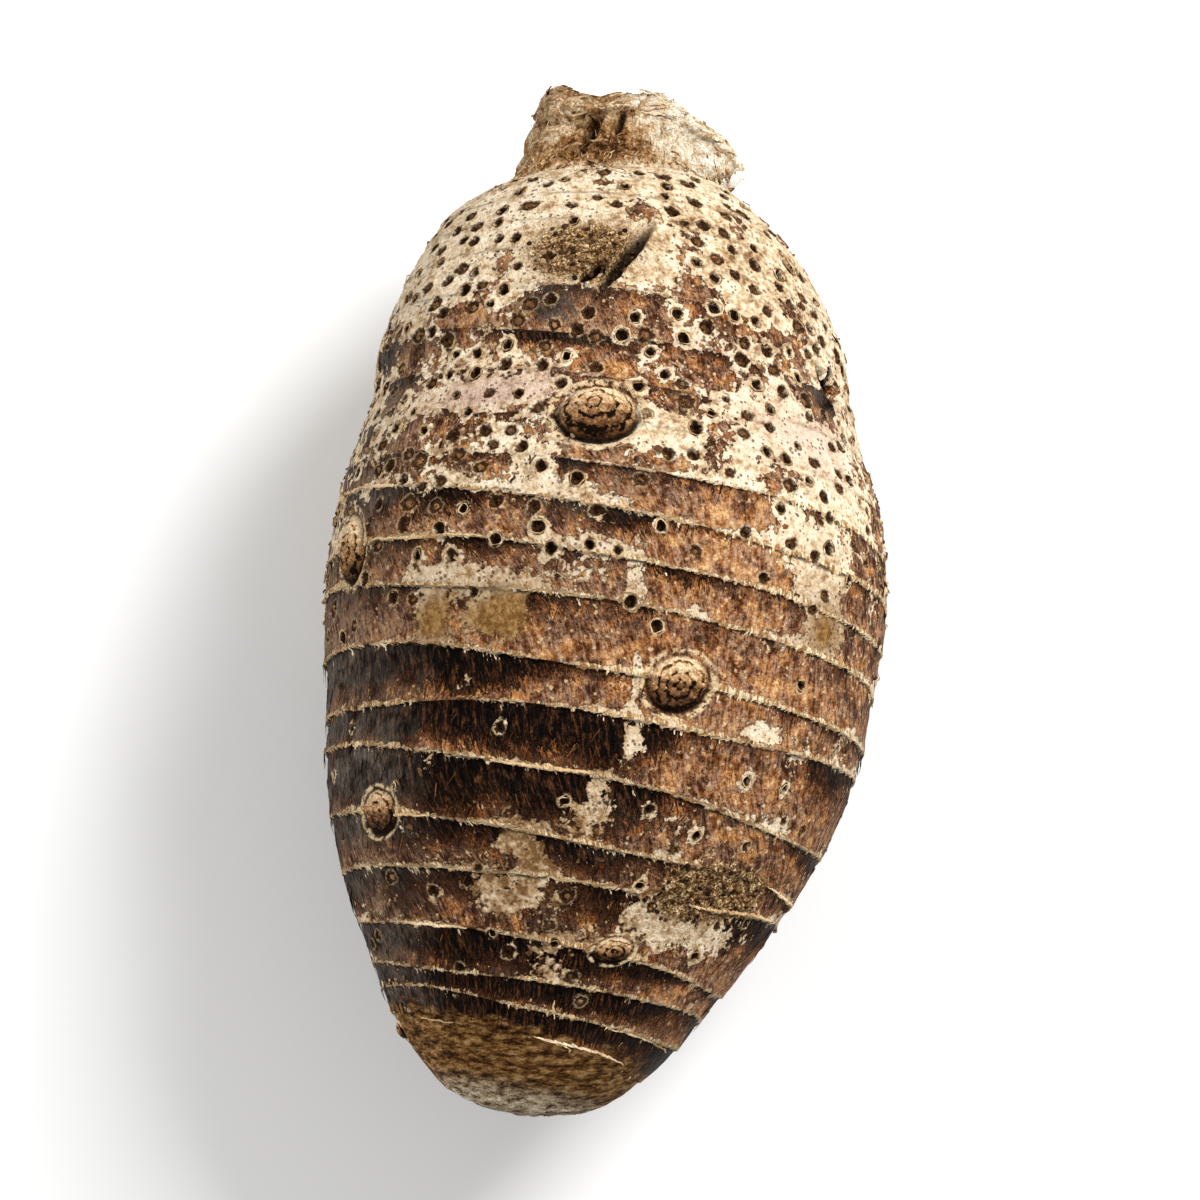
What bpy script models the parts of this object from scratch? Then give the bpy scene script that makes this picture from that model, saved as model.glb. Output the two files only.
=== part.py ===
"""Taro corm: one swollen stem that grew as a single piece, lying on its side.

The corm lies along Y with its base towards -Y and its crown towards +Y. It rests on a small
flat spot at z = 0, and the origin is in the middle of that spot, under the middle of its box.

Every place on the skin has two coordinates: `along`, the distance over the skin from the base
tip towards the crown, in millimetres, and `around`, the angle about the corm's axis from the
top (+Z) towards +X. Leaf-scar rings run round the corm, and the rows of the mesh follow them.
"""

import math

import bmesh
import bpy
import numpy as np
from mathutils import Matrix, Vector

MM = 0.001

# Outline of the smooth corm, in millimetres: (place along Y, half width, sideways shift),
# from the base tip to the middle of the neck stub's top
OUTLINE = [
    (-111.8, 0.0, -12.8),
    (-110.5, 10.0, -12.8),
    (-105.8, 19.5, -13.6),
    (-98.8, 27.0, -12.6),
    (-90.3, 33.2, -11.5),
    (-75.3, 42.0, -8.5),
    (-60.0, 49.7, -5.9),
    (-44.8, 54.8, -3.6),
    (-24.1, 58.0, -1.0),
    (-3.3, 60.4, 0.3),
    (12.7, 59.5, 0.4),
    (28.7, 55.3, 0.2),
    (39.7, 52.3, 0.8),
    (50.7, 50.8, 0.9),
    (61.7, 47.0, 0.7),
    (72.7, 41.4, 0.5),
    (82.7, 33.8, -0.4),
    (89.2, 26.4, 1.4),
    (92.2, 24.2, 2.8),
    (94.7, 23.2, 3.9),
    (99.2, 23.8, 4.7),
    (104.0, 20.6, 3.6),
    (106.6, 14.8, 0.8),
    (107.6, 9.6, -0.2),
    (108.6, 4.8, 0.0),
    (108.9, 0.0, 0.0),
]
HEIGHT_TO_WIDTH = 0.93
BELLY_PRESSED = 1.5
WIDEST = max(half_width for _, half_width, _ in OUTLINE)
AXIS_HEIGHT = WIDEST * HEIGHT_TO_WIDTH - BELLY_PRESSED

# Leaf-scar rings from base to crown: (distance along the top line, tilt, ridge height).
# The tilt lowers a ring on the +X side and lifts it as much on the -X side.
RINGS = [
    (32.0, 9.5, 0.6),
    (39.5, 8.0, 0.7),
    (45.8, 6.6, 0.7),
    (54.0, 8.8, 0.8),
    (67.5, 6.4, 0.4),
    (76.2, 9.8, 0.8),
    (88.8, 11.8, 0.9),
    (101.0, 6.8, 0.9),
    (110.3, 10.0, 1.0),
    (123.0, 10.3, 0.8),
    (132.0, 10.2, 0.6),
    (142.0, 11.5, 0.7),
    (151.0, 10.0, 0.6),
    (160.5, 9.0, 0.5),
    (170.5, 8.0, 0.5),
    (180.5, 7.0, 0.5),
    (190.5, 6.0, 0.5),
    (200.5, 5.0, 0.5),
    (210.0, 4.0, 0.5),
    (218.5, 3.0, 0.6),
    (225.5, 2.0, 0.7),
    (231.5, 1.0, 0.8),
]
# Broken leaf bases round the neck stub, written as the rings are
NECK_FOLDS = [
    (239.0, 1.0, 1.2),
    (246.0, 2.0, 1.2),
    (252.5, 1.5, 1.1),
    (259.0, 1.0, 1.0),
    (266.0, 0.5, 0.9),
]
RING_WAVE = 0.9
RIDGE_HALF_WIDTH = 1.3
BAND_GROOVE = 0.35
GROOVE_FADE = 4.0

# Lobes of the neck stub: (around, in degrees, half spread, rise along Y, outward swell)
NECK_LOBES = [
    (-50.0, 30.0, 5.6, 0.4),
    (12.0, 27.0, 2.6, 0.6),
    (88.0, 26.0, -4.0, 3.2),
    (152.0, 34.0, 1.6, 1.4),
]
NECK_START, NECK_FULL = 232.0, 246.0

# Buds: (along, around in degrees, half length, half width, height)
BUDS = [
    (162.0, -2.0, 5.6, 7.4, 5.6),
    (107.0, 16.0, 5.0, 5.6, 2.4),
    (140.0, -62.0, 6.5, 5.0, 3.6),
    (84.0, -51.0, 4.2, 4.6, 2.2),
    (53.0, 16.0, 2.6, 3.6, 1.4),
    (37.0, -82.0, 2.2, 2.4, 2.2),
    (172.0, 128.0, 6.0, 7.0, 5.0),
    (92.0, 118.0, 5.0, 5.6, 2.8),
    (128.0, -138.0, 5.4, 6.0, 3.6),
    (64.0, -150.0, 4.0, 4.6, 2.2),
    (196.0, -150.0, 5.0, 5.6, 3.0),
]
BUD_SEGMENTS, BUD_RINGS = 10, 6

# Hollows left by lost side corms: (along, around, turn, half length, half width, depth),
# with both angles in degrees
HOLLOWS = [
    (199.5, 4.0, 57.0, 1.9, 12.5, 5.0),
    (176.0, 63.0, -12.0, 6.2, 3.0, 5.5),
    (186.5, -76.0, 10.0, 4.6, 2.4, 4.0),
    (205.0, 150.0, 70.0, 2.4, 8.0, 4.0),
]
HOLLOW_SEGMENTS, HOLLOW_RINGS = 10, 6

# Root scars: small open pits, thick on the crown half and rare towards the base
SCAR_SEED = 11
SCAR_COUNT = 104
SCAR_RADIUS = (1.45, 2.0)
SCAR_DEPTH = 1.6
SCAR_SIDES = 6
SCAR_GAP = 6.5
BELLY_CLEAR_LENGTH, BELLY_CLEAR_ANGLE = 26.0, 28.0

COLUMNS = 42
STRONG_RING = 0.58
STRONG_GAP_ROWS = (0.0, 0.14, 0.5, 0.86)
FAINT_GAP_ROWS = (0.0, 0.17, 0.83)
NECK_GAP_ROWS = (0.0, 0.5)
TIP_ROWS = (0.0, 0.12, 0.3, 0.55, 0.8)


def clear_scene():
    """Removes whatever the open file holds."""
    for old in list(bpy.data.objects):
        bpy.data.objects.remove(old)


def smooth_through(knots, values, at):
    """Values at the places `at` of a smooth curve through the given knots."""
    knots, values = np.asarray(knots, float), np.asarray(values, float)
    gaps = np.diff(knots)
    rise = np.diff(values) / gaps
    slope = np.concatenate([rise[:1], (rise[:-1] * gaps[1:] + rise[1:] * gaps[:-1]) / (gaps[1:] + gaps[:-1]), rise[-1:]])
    at = np.clip(at, knots[0], knots[-1])
    k = np.clip(np.searchsorted(knots, at, side="right") - 1, 0, len(gaps) - 1)
    t = (at - knots[k]) / gaps[k]
    start = values[k] * (1 + 2 * t) * (1 - t) ** 2 + slope[k] * gaps[k] * t * (1 - t) ** 2
    end = values[k + 1] * t**2 * (3 - 2 * t) + slope[k + 1] * gaps[k] * t**2 * (t - 1)
    return start + end


def smooth_step(low, high, at):
    """0 below low, 1 above high, with a soft rise between them."""
    t = np.clip((at - low) / (high - low), 0.0, 1.0)
    return t * t * (3 - 2 * t)


STATIONS = np.array(OUTLINE)
STATION_ALONG = np.concatenate([[0.0], np.cumsum(np.hypot(np.diff(STATIONS[:, 0]), np.diff(STATIONS[:, 1])))])
SKIN_LENGTH = STATION_ALONG[-1]
ALL_RINGS = np.array(RINGS + NECK_FOLDS)


def ring_place(ring, around):
    """Distance along the skin of a ring line; ring 0 is the base tip and halves lie between rings."""
    count = np.arange(len(ALL_RINGS) + 2)
    middle = np.interp(ring, count, [0.0, *ALL_RINGS[:, 0], SKIN_LENGTH])
    tilt = np.interp(ring, count, [0.0, *ALL_RINGS[:, 1], 0.0])
    wave = RING_WAVE * np.minimum(1.0, tilt / 5.0)
    ripple = np.sin(3 * around + 1.9 * np.floor(ring + 0.5)) + 0.6 * np.sin(5 * around + 2.7 * np.floor(ring + 0.5))
    return middle - tilt * np.sin(around) + wave * 0.5 * ripple


def smooth_skin(along, around):
    """Points of the corm without its relief, in millimetres."""
    place = smooth_through(STATION_ALONG, STATIONS[:, 0], along)
    half_width = smooth_through(STATION_ALONG, STATIONS[:, 1], along)
    sideways = smooth_through(STATION_ALONG, STATIONS[:, 2], along)
    neck = smooth_step(NECK_START, NECK_FULL, along)
    for middle, spread, rise, swell in NECK_LOBES:
        turn = np.degrees(np.angle(np.exp(1j * (around - math.radians(middle)))))
        lobe = neck * np.exp(-((turn / spread) ** 2))
        place = place + rise * lobe * np.minimum(1.0, half_width / 14.0)
        half_width = half_width + swell * lobe * np.minimum(1.0, half_width / 14.0)
    lumps = 0.35 * np.sin(2 * around + 0.045 * along + 0.6) + 0.3 * np.sin(3 * around - 0.06 * along + 2.0)
    lumps = (lumps + 0.25 * np.sin(5 * around + 0.05 * along + 4.0)) * np.minimum(1.0, half_width / 30.0)
    half_width = half_width + lumps
    across = sideways + half_width * np.sin(around)
    up = AXIS_HEIGHT + half_width * HEIGHT_TO_WIDTH * np.cos(around)
    return np.stack(np.broadcast_arrays(across, place, up), axis=-1)


def ring_relief(ring, along, around):
    """Height of the ridges and of the grooves just below them."""
    height = np.zeros_like(along)
    for number, (_, _, ridge) in enumerate(ALL_RINGS, start=1):
        above = along - ring_place(float(number), around)
        height += ridge * np.clip(1 - np.abs(above) / RIDGE_HALF_WIDTH, 0.0, 1.0)
        below = np.clip(-above - RIDGE_HALF_WIDTH, 0.0, None)
        near = (above < -RIDGE_HALF_WIDTH) & (ring > number - 1)
        height -= near * BAND_GROOVE * (ridge / 0.8) * np.exp(-below / GROOVE_FADE)
    return height


def frame_at(along, around):
    """Point on the smooth skin, its outward normal and its direction towards the crown."""
    step = 0.5
    point = smooth_skin(np.float64(along), np.float64(around))
    crownward = smooth_skin(np.float64(along + step), np.float64(around)) - point
    sideward = smooth_skin(np.float64(along), np.float64(around + step / WIDEST)) - point
    outward = Vector(np.cross(sideward, crownward)).normalized()
    crownward = Vector(crownward).normalized()
    return Vector(point), outward, crownward


def skin_matrix(along, around_degrees, turn_degrees=0.0):
    """Frame on the skin: X across, Y towards the crown, Z outward, turned about Z."""
    point, outward, crownward = frame_at(along, math.radians(around_degrees))
    across = crownward.cross(outward).normalized()
    axes = Matrix((across, crownward, outward)).transposed().to_4x4()
    return Matrix.Translation(point) @ axes @ Matrix.Rotation(math.radians(turn_degrees), 4, "Z")


def row_list():
    """Ring numbers of the mesh rows between the base tip and the neck's middle."""
    rows = list(TIP_ROWS[1:])
    for number in range(1, len(ALL_RINGS) + 1):
        if number > len(RINGS):
            fractions = NECK_GAP_ROWS
        elif max(ALL_RINGS[number - 1, 2], ALL_RINGS[number, 2]) > STRONG_RING:
            fractions = STRONG_GAP_ROWS
        else:
            fractions = FAINT_GAP_ROWS
        rows += [number + fraction for fraction in fractions]
    return np.array(rows)


def corm_body():
    """The corm's closed skin with its rings, its neck stub and its flat spot."""
    ring, around = np.meshgrid(row_list(), np.arange(COLUMNS) * 2 * math.pi / COLUMNS, indexing="ij")
    along = ring_place(ring, around)
    points = smooth_skin(along, around)
    sideward = np.roll(points, -1, axis=1) - np.roll(points, 1, axis=1)
    crownward = np.gradient(points, axis=0)
    outward = np.cross(sideward, crownward)
    outward /= np.linalg.norm(outward, axis=-1, keepdims=True)
    points = points + outward * ring_relief(ring, along, around)[..., None]
    tip = smooth_skin(np.float64(0.0), np.float64(0.0))
    middle = smooth_skin(np.float64(SKIN_LENGTH), np.float64(0.0))
    points = np.concatenate([[tip], points.reshape(-1, 3), [middle]])
    points[:, 2] = np.maximum(points[:, 2], 0.0)

    rows = len(row_list())
    first = 1 + np.arange(rows)[:, None] * COLUMNS + np.arange(COLUMNS)
    turned = np.roll(first, -1, axis=1)
    quads = np.stack([first[:-1], turned[:-1], turned[1:], first[1:]], axis=-1).reshape(-1, 4)
    caps = [(0, b, a) for a, b in zip(first[0], turned[0])]
    caps += [(len(points) - 1, a, b) for a, b in zip(first[-1], turned[-1])]
    mesh = bpy.data.meshes.new("corm")
    mesh.from_pydata((points * MM).tolist(), [], quads.tolist() + caps)
    return make_object("corm", mesh)


def make_object(name, mesh):
    """Links a mesh object, with its faces turned outward."""
    shape = bmesh.new()
    shape.from_mesh(mesh)
    bmesh.ops.recalc_face_normals(shape, faces=shape.faces)
    shape.to_mesh(mesh)
    shape.free()
    made = bpy.data.objects.new(name, mesh)
    bpy.context.scene.collection.objects.link(made)
    return made


def add_ball(shape, place, size, segments, rings):
    """Adds a squashed ball of the given half sizes at a frame on the skin."""
    half_sizes = Matrix.Diagonal((*[value * MM for value in size], 1.0))
    scaled = place.copy()
    scaled.translation *= MM
    bmesh.ops.create_uvsphere(shape, u_segments=segments, v_segments=rings, radius=1.0, matrix=scaled @ half_sizes)


def bud_lumps():
    """All buds as balls sunk to their middles in the skin."""
    shape = bmesh.new()
    for along, around, half_length, half_width, height in BUDS:
        place = skin_matrix(along, around)
        add_ball(shape, place, (half_width, half_length, height), BUD_SEGMENTS, BUD_RINGS)
    return finished_tool("bud_lumps", shape)


def scar_places():
    """Seeded places of the root scars: (along, around in degrees, radius)."""
    rng = np.random.default_rng(SCAR_SEED)
    taken = [(skin_matrix(a, v).translation, max(length, width)) for a, v, length, width, _ in BUDS]
    taken += [(skin_matrix(a, v).translation, max(length, width)) for a, v, _, length, width, _ in HOLLOWS]
    places = []
    while len(places) < SCAR_COUNT:
        along = rng.uniform(40.0, 229.0)
        around = rng.uniform(-180.0, 180.0)
        radius = rng.uniform(*SCAR_RADIUS)
        chance = 0.08 + 0.92 * smooth_step(105.0, 185.0, along)
        on_belly = abs(abs(around) - 180.0) < BELLY_CLEAR_ANGLE and abs(along - 137.0) < BELLY_CLEAR_LENGTH
        if rng.uniform() > chance or on_belly:
            continue
        point = skin_matrix(along, around).translation
        if all((point - other).length > reach + SCAR_GAP * 0.5 for other, reach in taken):
            taken.append((point, SCAR_GAP * 0.5))
            places.append((along, around, radius))
    return places


def skin_cutter():
    """The pits of the root scars and the hollows of lost side corms, as one cutting mesh."""
    shape = bmesh.new()
    for along, around, radius in scar_places():
        place = skin_matrix(along, around)
        place.translation *= MM
        bmesh.ops.create_cone(
            shape,
            cap_ends=True,
            segments=SCAR_SIDES,
            radius1=0.0,
            radius2=2 * radius * MM,
            depth=2 * SCAR_DEPTH * MM,
            matrix=place,
        )
    for along, around, turn, half_length, half_width, depth in HOLLOWS:
        place = skin_matrix(along, around, turn)
        add_ball(shape, place, (half_width, half_length, depth), HOLLOW_SEGMENTS, HOLLOW_RINGS)
    return finished_tool("skin_cutter", shape)


def finished_tool(name, shape):
    """Turns a bmesh into an object that only shapes the corm."""
    mesh = bpy.data.meshes.new(name)
    shape.to_mesh(mesh)
    shape.free()
    tool = make_object(name, mesh)
    tool.hide_render = True
    tool.display_type = "WIRE"
    return tool


def fuse(corm, tool, operation):
    """Applies one Boolean with a tool object and removes the tool."""
    boolean = corm.modifiers.new(operation.lower(), "BOOLEAN")
    boolean.operation = operation
    boolean.object = tool
    boolean.solver = "EXACT"
    graph = bpy.context.evaluated_depsgraph_get()
    joined = bpy.data.meshes.new_from_object(corm.evaluated_get(graph))
    corm.modifiers.clear()
    corm.data = joined
    bpy.data.objects.remove(tool)


def corky_skin():
    """Brown, dry skin."""
    material = bpy.data.materials.new("corky_skin")
    material.use_nodes = True
    shader = material.node_tree.nodes["Principled BSDF"]
    shader.inputs["Base Color"].default_value = (0.22, 0.125, 0.065, 1.0)
    shader.inputs["Roughness"].default_value = 0.75
    shader.inputs["Metallic"].default_value = 0.0
    return material


def main():
    clear_scene()
    corm = corm_body()
    fuse(corm, bud_lumps(), "UNION")
    fuse(corm, skin_cutter(), "DIFFERENCE")
    corm.data.materials.clear()
    corm.data.materials.append(corky_skin())
    corm.data.shade_smooth()
    corm.data.set_sharp_from_angle(angle=math.radians(38.0))


main()
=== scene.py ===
"""A taro corm, dressed: ringed, scarred and peeling, lying on its side on a pale floor.

The corm replaces the plain solid of the frame with a finer skin of the same form. Every place
on that skin has two coordinates: `along`, the distance over the skin from the base tip towards
the crown, in millimetres, and `around`, the angle about the corm's axis from the top (+Z)
towards +X. Sizes are in millimetres; a mesh gets its metres when it is made.
"""

import logging
import math
from dataclasses import dataclass, replace
from enum import Enum
from functools import cached_property

import bpy
import numpy as np
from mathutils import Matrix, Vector

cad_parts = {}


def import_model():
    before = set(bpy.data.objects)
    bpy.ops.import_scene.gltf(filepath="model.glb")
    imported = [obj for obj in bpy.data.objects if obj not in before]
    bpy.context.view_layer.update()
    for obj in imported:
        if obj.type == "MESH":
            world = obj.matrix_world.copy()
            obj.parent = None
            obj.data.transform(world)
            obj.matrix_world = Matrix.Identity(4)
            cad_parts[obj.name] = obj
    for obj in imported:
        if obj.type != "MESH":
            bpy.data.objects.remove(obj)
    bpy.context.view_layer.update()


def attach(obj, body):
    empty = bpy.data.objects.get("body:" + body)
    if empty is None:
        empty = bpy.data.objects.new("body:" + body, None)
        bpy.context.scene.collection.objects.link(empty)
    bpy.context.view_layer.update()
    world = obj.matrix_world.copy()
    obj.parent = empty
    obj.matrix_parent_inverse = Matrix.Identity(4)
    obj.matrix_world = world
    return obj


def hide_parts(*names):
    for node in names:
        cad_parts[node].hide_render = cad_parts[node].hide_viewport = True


LOG = logging.getLogger("taro_corm")
MM = 0.001
WIDEST = 60.4
LOW_SPECULAR = 0.03
BOX_LOW = (-61.12, -111.8, 0.0)
BOX_HIGH = (60.74, 113.31, 112.53)

Array = np.ndarray
Colour = tuple[float, float, float, float]
Stops = tuple[tuple[float, Colour], ...]
Rows = tuple[tuple[float, ...], ...]
Object = bpy.types.Object
Mesh = bpy.types.Mesh
Material = bpy.types.Material
Node = bpy.types.Node
NodeTree = bpy.types.NodeTree
Socket = bpy.types.NodeSocket


class Blend(Enum):
    """Ways in which two colours are put together."""

    MIX = "MIX"
    MULTIPLY = "MULTIPLY"


def smooth_through(knots: Array, values: Array, at: Array) -> Array:
    """Reads a smooth curve through knots.

    Args:
        knots: rising places of the knots.
        values: value at each knot.
        at: places to read.

    Returns:
        The values at those places.
    """
    gaps = np.diff(knots)
    rise = np.diff(values) / gaps
    inner = (rise[:-1] * gaps[1:] + rise[1:] * gaps[:-1]) / (gaps[1:] + gaps[:-1])
    slope = np.concatenate([rise[:1], inner, rise[-1:]])
    at = np.clip(at, knots[0], knots[-1])
    k = np.clip(np.searchsorted(knots, at, side="right") - 1, 0, len(gaps) - 1)
    t = (at - knots[k]) / gaps[k]
    start = values[k] * (1 + 2 * t) * (1 - t) ** 2 + slope[k] * gaps[k] * t * (1 - t) ** 2
    end = values[k + 1] * t**2 * (3 - 2 * t) + slope[k + 1] * gaps[k] * t**2 * (t - 1)
    return start + end


def smooth_step(low: float, high: float, at: Array) -> Array:
    """Goes softly from 0 at low to 1 at high, whichever of the two is larger."""
    t = np.clip((at - low) / (high - low), 0.0, 1.0)
    return t * t * (3 - 2 * t)


def hump(at: Array, middle: float, spread: float) -> Array:
    """A bell of height 1 about a middle."""
    return np.exp(-(((at - middle) / spread) ** 2))


def turned(angle: Array) -> Array:
    """Brings an angle in radians between minus and plus half a turn."""
    return np.angle(np.exp(1j * angle))


def lattice_noise(points: Array, size: float, seed: int) -> Array:
    """Smooth seeded noise in space, from -1 to 1.

    Args:
        points: places, in millimetres, as rows of three.
        size: spacing of the noise's lattice.
        seed: picks the pattern.

    Returns:
        One value for each point.
    """
    at = points / size
    floor = np.floor(at)
    t = at - floor
    t = t * t * (3.0 - 2.0 * t)
    steps = np.array([73856093, 19349663, 83492791], np.uint32)
    low = floor.astype(np.int64).astype(np.uint32) * steps
    sides = (low, low + steps)
    weights = (1.0 - t, t)
    total = np.zeros(points.shape[:-1])
    for i, j, k in np.ndindex(2, 2, 2):
        key = sides[i][..., 0] ^ sides[j][..., 1] ^ sides[k][..., 2]
        key ^= np.uint32(seed * 40503 + 977)
        key ^= key >> np.uint32(13)
        key *= np.uint32(1274126177)
        key ^= key >> np.uint32(16)
        weight = weights[i][..., 0] * weights[j][..., 1] * weights[k][..., 2]
        total += weight * (key & np.uint32(0xFFFF))
    return total / 32767.5 - 1.0


def layered_noise(points: Array, size: float, seed: int, layers: int = 3) -> Array:
    """Noise of several sizes, each half as large and half as strong as the one before.

    Args:
        points: places, in millimetres, as rows of three.
        size: spacing of the largest lattice.
        seed: picks the pattern.
        layers: number of sizes.

    Returns:
        One value for each point.
    """
    total = np.zeros(points.shape[:-1])
    for layer in range(layers):
        total += lattice_noise(points, size / 2**layer, seed + layer) / 2**layer
    return total


@dataclass(frozen=True)
class Mark:
    """An oval mark on the skin: its place, and its half sizes along and across the corm."""

    along: float
    around: float
    half_length: float
    half_width: float


@dataclass(frozen=True)
class Bud(Mark):
    """A side bud and its height."""

    height: float


@dataclass(frozen=True)
class Hollow(Mark):
    """The hollow left by a lost side corm: its depth, the angle that it is turned by and how dark its painted
    shade is.
    """

    depth: float
    turn: float
    darkness: float = 1.0


@dataclass(frozen=True)
class Patch(Mark):
    """An area of the skin and how strongly it shows."""

    strength: float


def patches(*rows: tuple[float, ...]) -> tuple[Patch, ...]:
    """Patches from rows of their numbers."""
    return tuple(Patch(*row) for row in rows)


@dataclass(frozen=True)
class CormForm:
    """The corm's form, with the same sizes as its solid."""

    outline: Rows = (
        (-111.8, 0.0, -12.8), (-110.5, 10.0, -12.8), (-105.8, 19.5, -13.6), (-98.8, 27.0, -12.6),
        (-90.3, 33.2, -11.5), (-75.3, 42.0, -8.5), (-60.0, 49.7, -5.9), (-44.8, 54.8, -3.6),
        (-24.1, 58.0, -1.0), (-3.3, 60.4, 0.3), (12.7, 59.5, 0.4), (28.7, 55.3, 0.2),
        (39.7, 52.3, 0.8), (50.7, 50.8, 0.9), (61.7, 47.0, 0.7), (72.7, 41.4, 0.5),
        (82.7, 33.8, -0.4), (89.2, 26.4, 1.4), (92.2, 24.2, 2.8), (94.7, 23.2, 3.9),
        (99.2, 23.8, 4.7), (104.0, 20.6, 3.6), (106.6, 14.8, 0.8), (107.6, 9.6, -0.2),
        (108.6, 4.8, 0.0), (108.9, 0.0, 0.0),
    )
    height_to_width: float = 0.93
    belly_pressed: float = 1.5
    rings: Rows = (
        (32.0, 9.5, 0.6), (39.5, 8.0, 0.7), (45.8, 6.6, 0.7), (54.0, 8.8, 0.8),
        (67.5, 6.4, 0.4), (76.2, 9.8, 0.8), (88.8, 11.8, 0.9), (101.0, 6.8, 0.9),
        (110.3, 10.0, 1.0), (123.0, 10.3, 0.8), (132.0, 10.2, 0.6), (142.0, 11.5, 0.7),
        (151.0, 10.0, 0.6), (160.5, 9.0, 0.5), (170.5, 8.0, 0.5), (180.5, 7.0, 0.5),
        (190.5, 6.0, 0.5), (200.5, 5.0, 0.5), (210.0, 4.0, 0.5), (218.5, 3.0, 0.6),
        (225.5, 2.0, 0.7), (231.5, 1.0, 0.8), (239.0, 1.0, 1.2), (246.0, 2.0, 1.2),
        (252.5, 1.5, 1.1), (259.0, 1.0, 1.0), (266.0, 0.5, 0.9),
    )
    neck_ring: int = 22
    ring_wave: float = 0.9
    neck_lobes: Rows = (
        (-50.0, 30.0, 5.6, 0.4), (12.0, 27.0, 2.6, 0.6),
        (88.0, 26.0, -4.0, 3.2), (152.0, 34.0, 1.6, 1.4),
    )
    neck_start: float = 232.0
    neck_full: float = 246.0
    buds: tuple[Bud, ...] = (
        Bud(162.0, -2.0, 5.6, 7.4, 5.6),
        Bud(107.0, 16.0, 5.0, 5.6, 2.4),
        Bud(140.0, -62.0, 6.5, 5.0, 3.6),
        Bud(84.0, -51.0, 4.2, 4.6, 2.2),
        Bud(53.0, 16.0, 2.6, 3.6, 1.4),
        Bud(37.0, -82.0, 2.2, 2.4, 2.2),
        Bud(172.0, 128.0, 6.0, 7.0, 5.0),
        Bud(92.0, 118.0, 5.0, 5.6, 2.8),
        Bud(128.0, -138.0, 5.4, 6.0, 3.6),
        Bud(64.0, -150.0, 4.0, 4.6, 2.2),
        Bud(196.0, -150.0, 5.0, 5.6, 3.0),
    )
    hollows: tuple[Hollow, ...] = (
        Hollow(199.5, 4.0, 1.9, 12.5, 5.0, turn=57.0, darkness=0.66),
        Hollow(176.0, 63.0, 6.2, 3.0, 5.5, turn=-12.0),
        Hollow(186.5, -76.0, 4.6, 2.4, 4.0, turn=10.0),
        Hollow(205.0, 150.0, 2.4, 8.0, 4.0, turn=70.0),
    )

    @cached_property
    def stations(self) -> Array:
        """The outline as an array."""
        return np.array(self.outline)

    @cached_property
    def station_along(self) -> Array:
        """Distance along the skin of each station of the outline."""
        gaps = np.hypot(np.diff(self.stations[:, 0]), np.diff(self.stations[:, 1]))
        return np.concatenate([[0.0], np.cumsum(gaps)])

    @property
    def skin_length(self) -> float:
        """Distance over the skin from the base tip to the middle of the neck's top."""
        return float(self.station_along[-1])

    @property
    def axis_height(self) -> float:
        """Height of the corm's axis above the floor."""
        return self.stations[:, 1].max() * self.height_to_width - self.belly_pressed

    def half_width(self, along: Array) -> Array:
        """Half width of the corm at places along it."""
        return smooth_through(self.station_along, self.stations[:, 1], along)

    def smooth(self, along: Array, around: Array) -> Array:
        """Points of the corm without its relief.

        Args:
            along: places along the skin.
            around: their angles, in radians.

        Returns:
            The points.
        """
        place = smooth_through(self.station_along, self.stations[:, 0], along)
        half_width = self.half_width(along)
        sideways = smooth_through(self.station_along, self.stations[:, 2], along)
        neck = smooth_step(self.neck_start, self.neck_full, along)
        for middle, spread, rise, swell in self.neck_lobes:
            away = np.degrees(turned(around - math.radians(middle)))
            lobe = neck * np.exp(-((away / spread) ** 2))
            place = place + rise * lobe * np.minimum(1.0, half_width / 14.0)
            half_width = half_width + swell * lobe * np.minimum(1.0, half_width / 14.0)
        lumps = 0.35 * np.sin(2 * around + 0.045 * along + 0.6)
        lumps = lumps + 0.3 * np.sin(3 * around - 0.06 * along + 2.0)
        lumps = lumps + 0.25 * np.sin(5 * around + 0.05 * along + 4.0)
        half_width = half_width + lumps * np.minimum(1.0, half_width / 30.0)
        across = sideways + half_width * np.sin(around)
        up = self.axis_height + half_width * self.height_to_width * np.cos(around)
        return np.stack(np.broadcast_arrays(across, place, up), axis=-1)

    def directions(self, along: Array, around: Array) -> tuple[Array, Array]:
        """Outward and crownward directions of the smooth skin, as unit vectors.

        Args:
            along: places along the skin.
            around: their angles, in radians.

        Returns:
            The outward and the crownward directions.
        """
        step = 0.5
        point = self.smooth(along, around)
        crownward = self.smooth(along + step, around) - point
        sideward = self.smooth(along, around + step / 60.0) - point
        outward = np.cross(sideward, crownward)
        outward /= np.maximum(np.linalg.norm(outward, axis=-1, keepdims=True), 1e-9)
        crownward /= np.maximum(np.linalg.norm(crownward, axis=-1, keepdims=True), 1e-9)
        return outward, crownward

    def ring_lines(self, around: Array) -> Array:
        """Place along the skin of each ring at given angles, with the two tips as first and last.

        Args:
            around: the angles, in radians.

        Returns:
            One row of places for each ring and tip.
        """
        number = np.arange(1, len(self.rings) + 1).reshape(-1, *[1] * around.ndim)
        middle, tilt, _ = np.array(self.rings).T.reshape(3, -1, *[1] * around.ndim)
        ripple = np.sin(3 * around + 1.9 * number) + 0.6 * np.sin(5 * around + 2.7 * number)
        wave = self.ring_wave * np.minimum(1.0, tilt / 5.0) * 0.5 * ripple
        lines = middle - tilt * np.sin(around) + wave
        flat = np.zeros_like(lines[:1])
        return np.concatenate([flat, lines, flat + self.skin_length])


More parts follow.
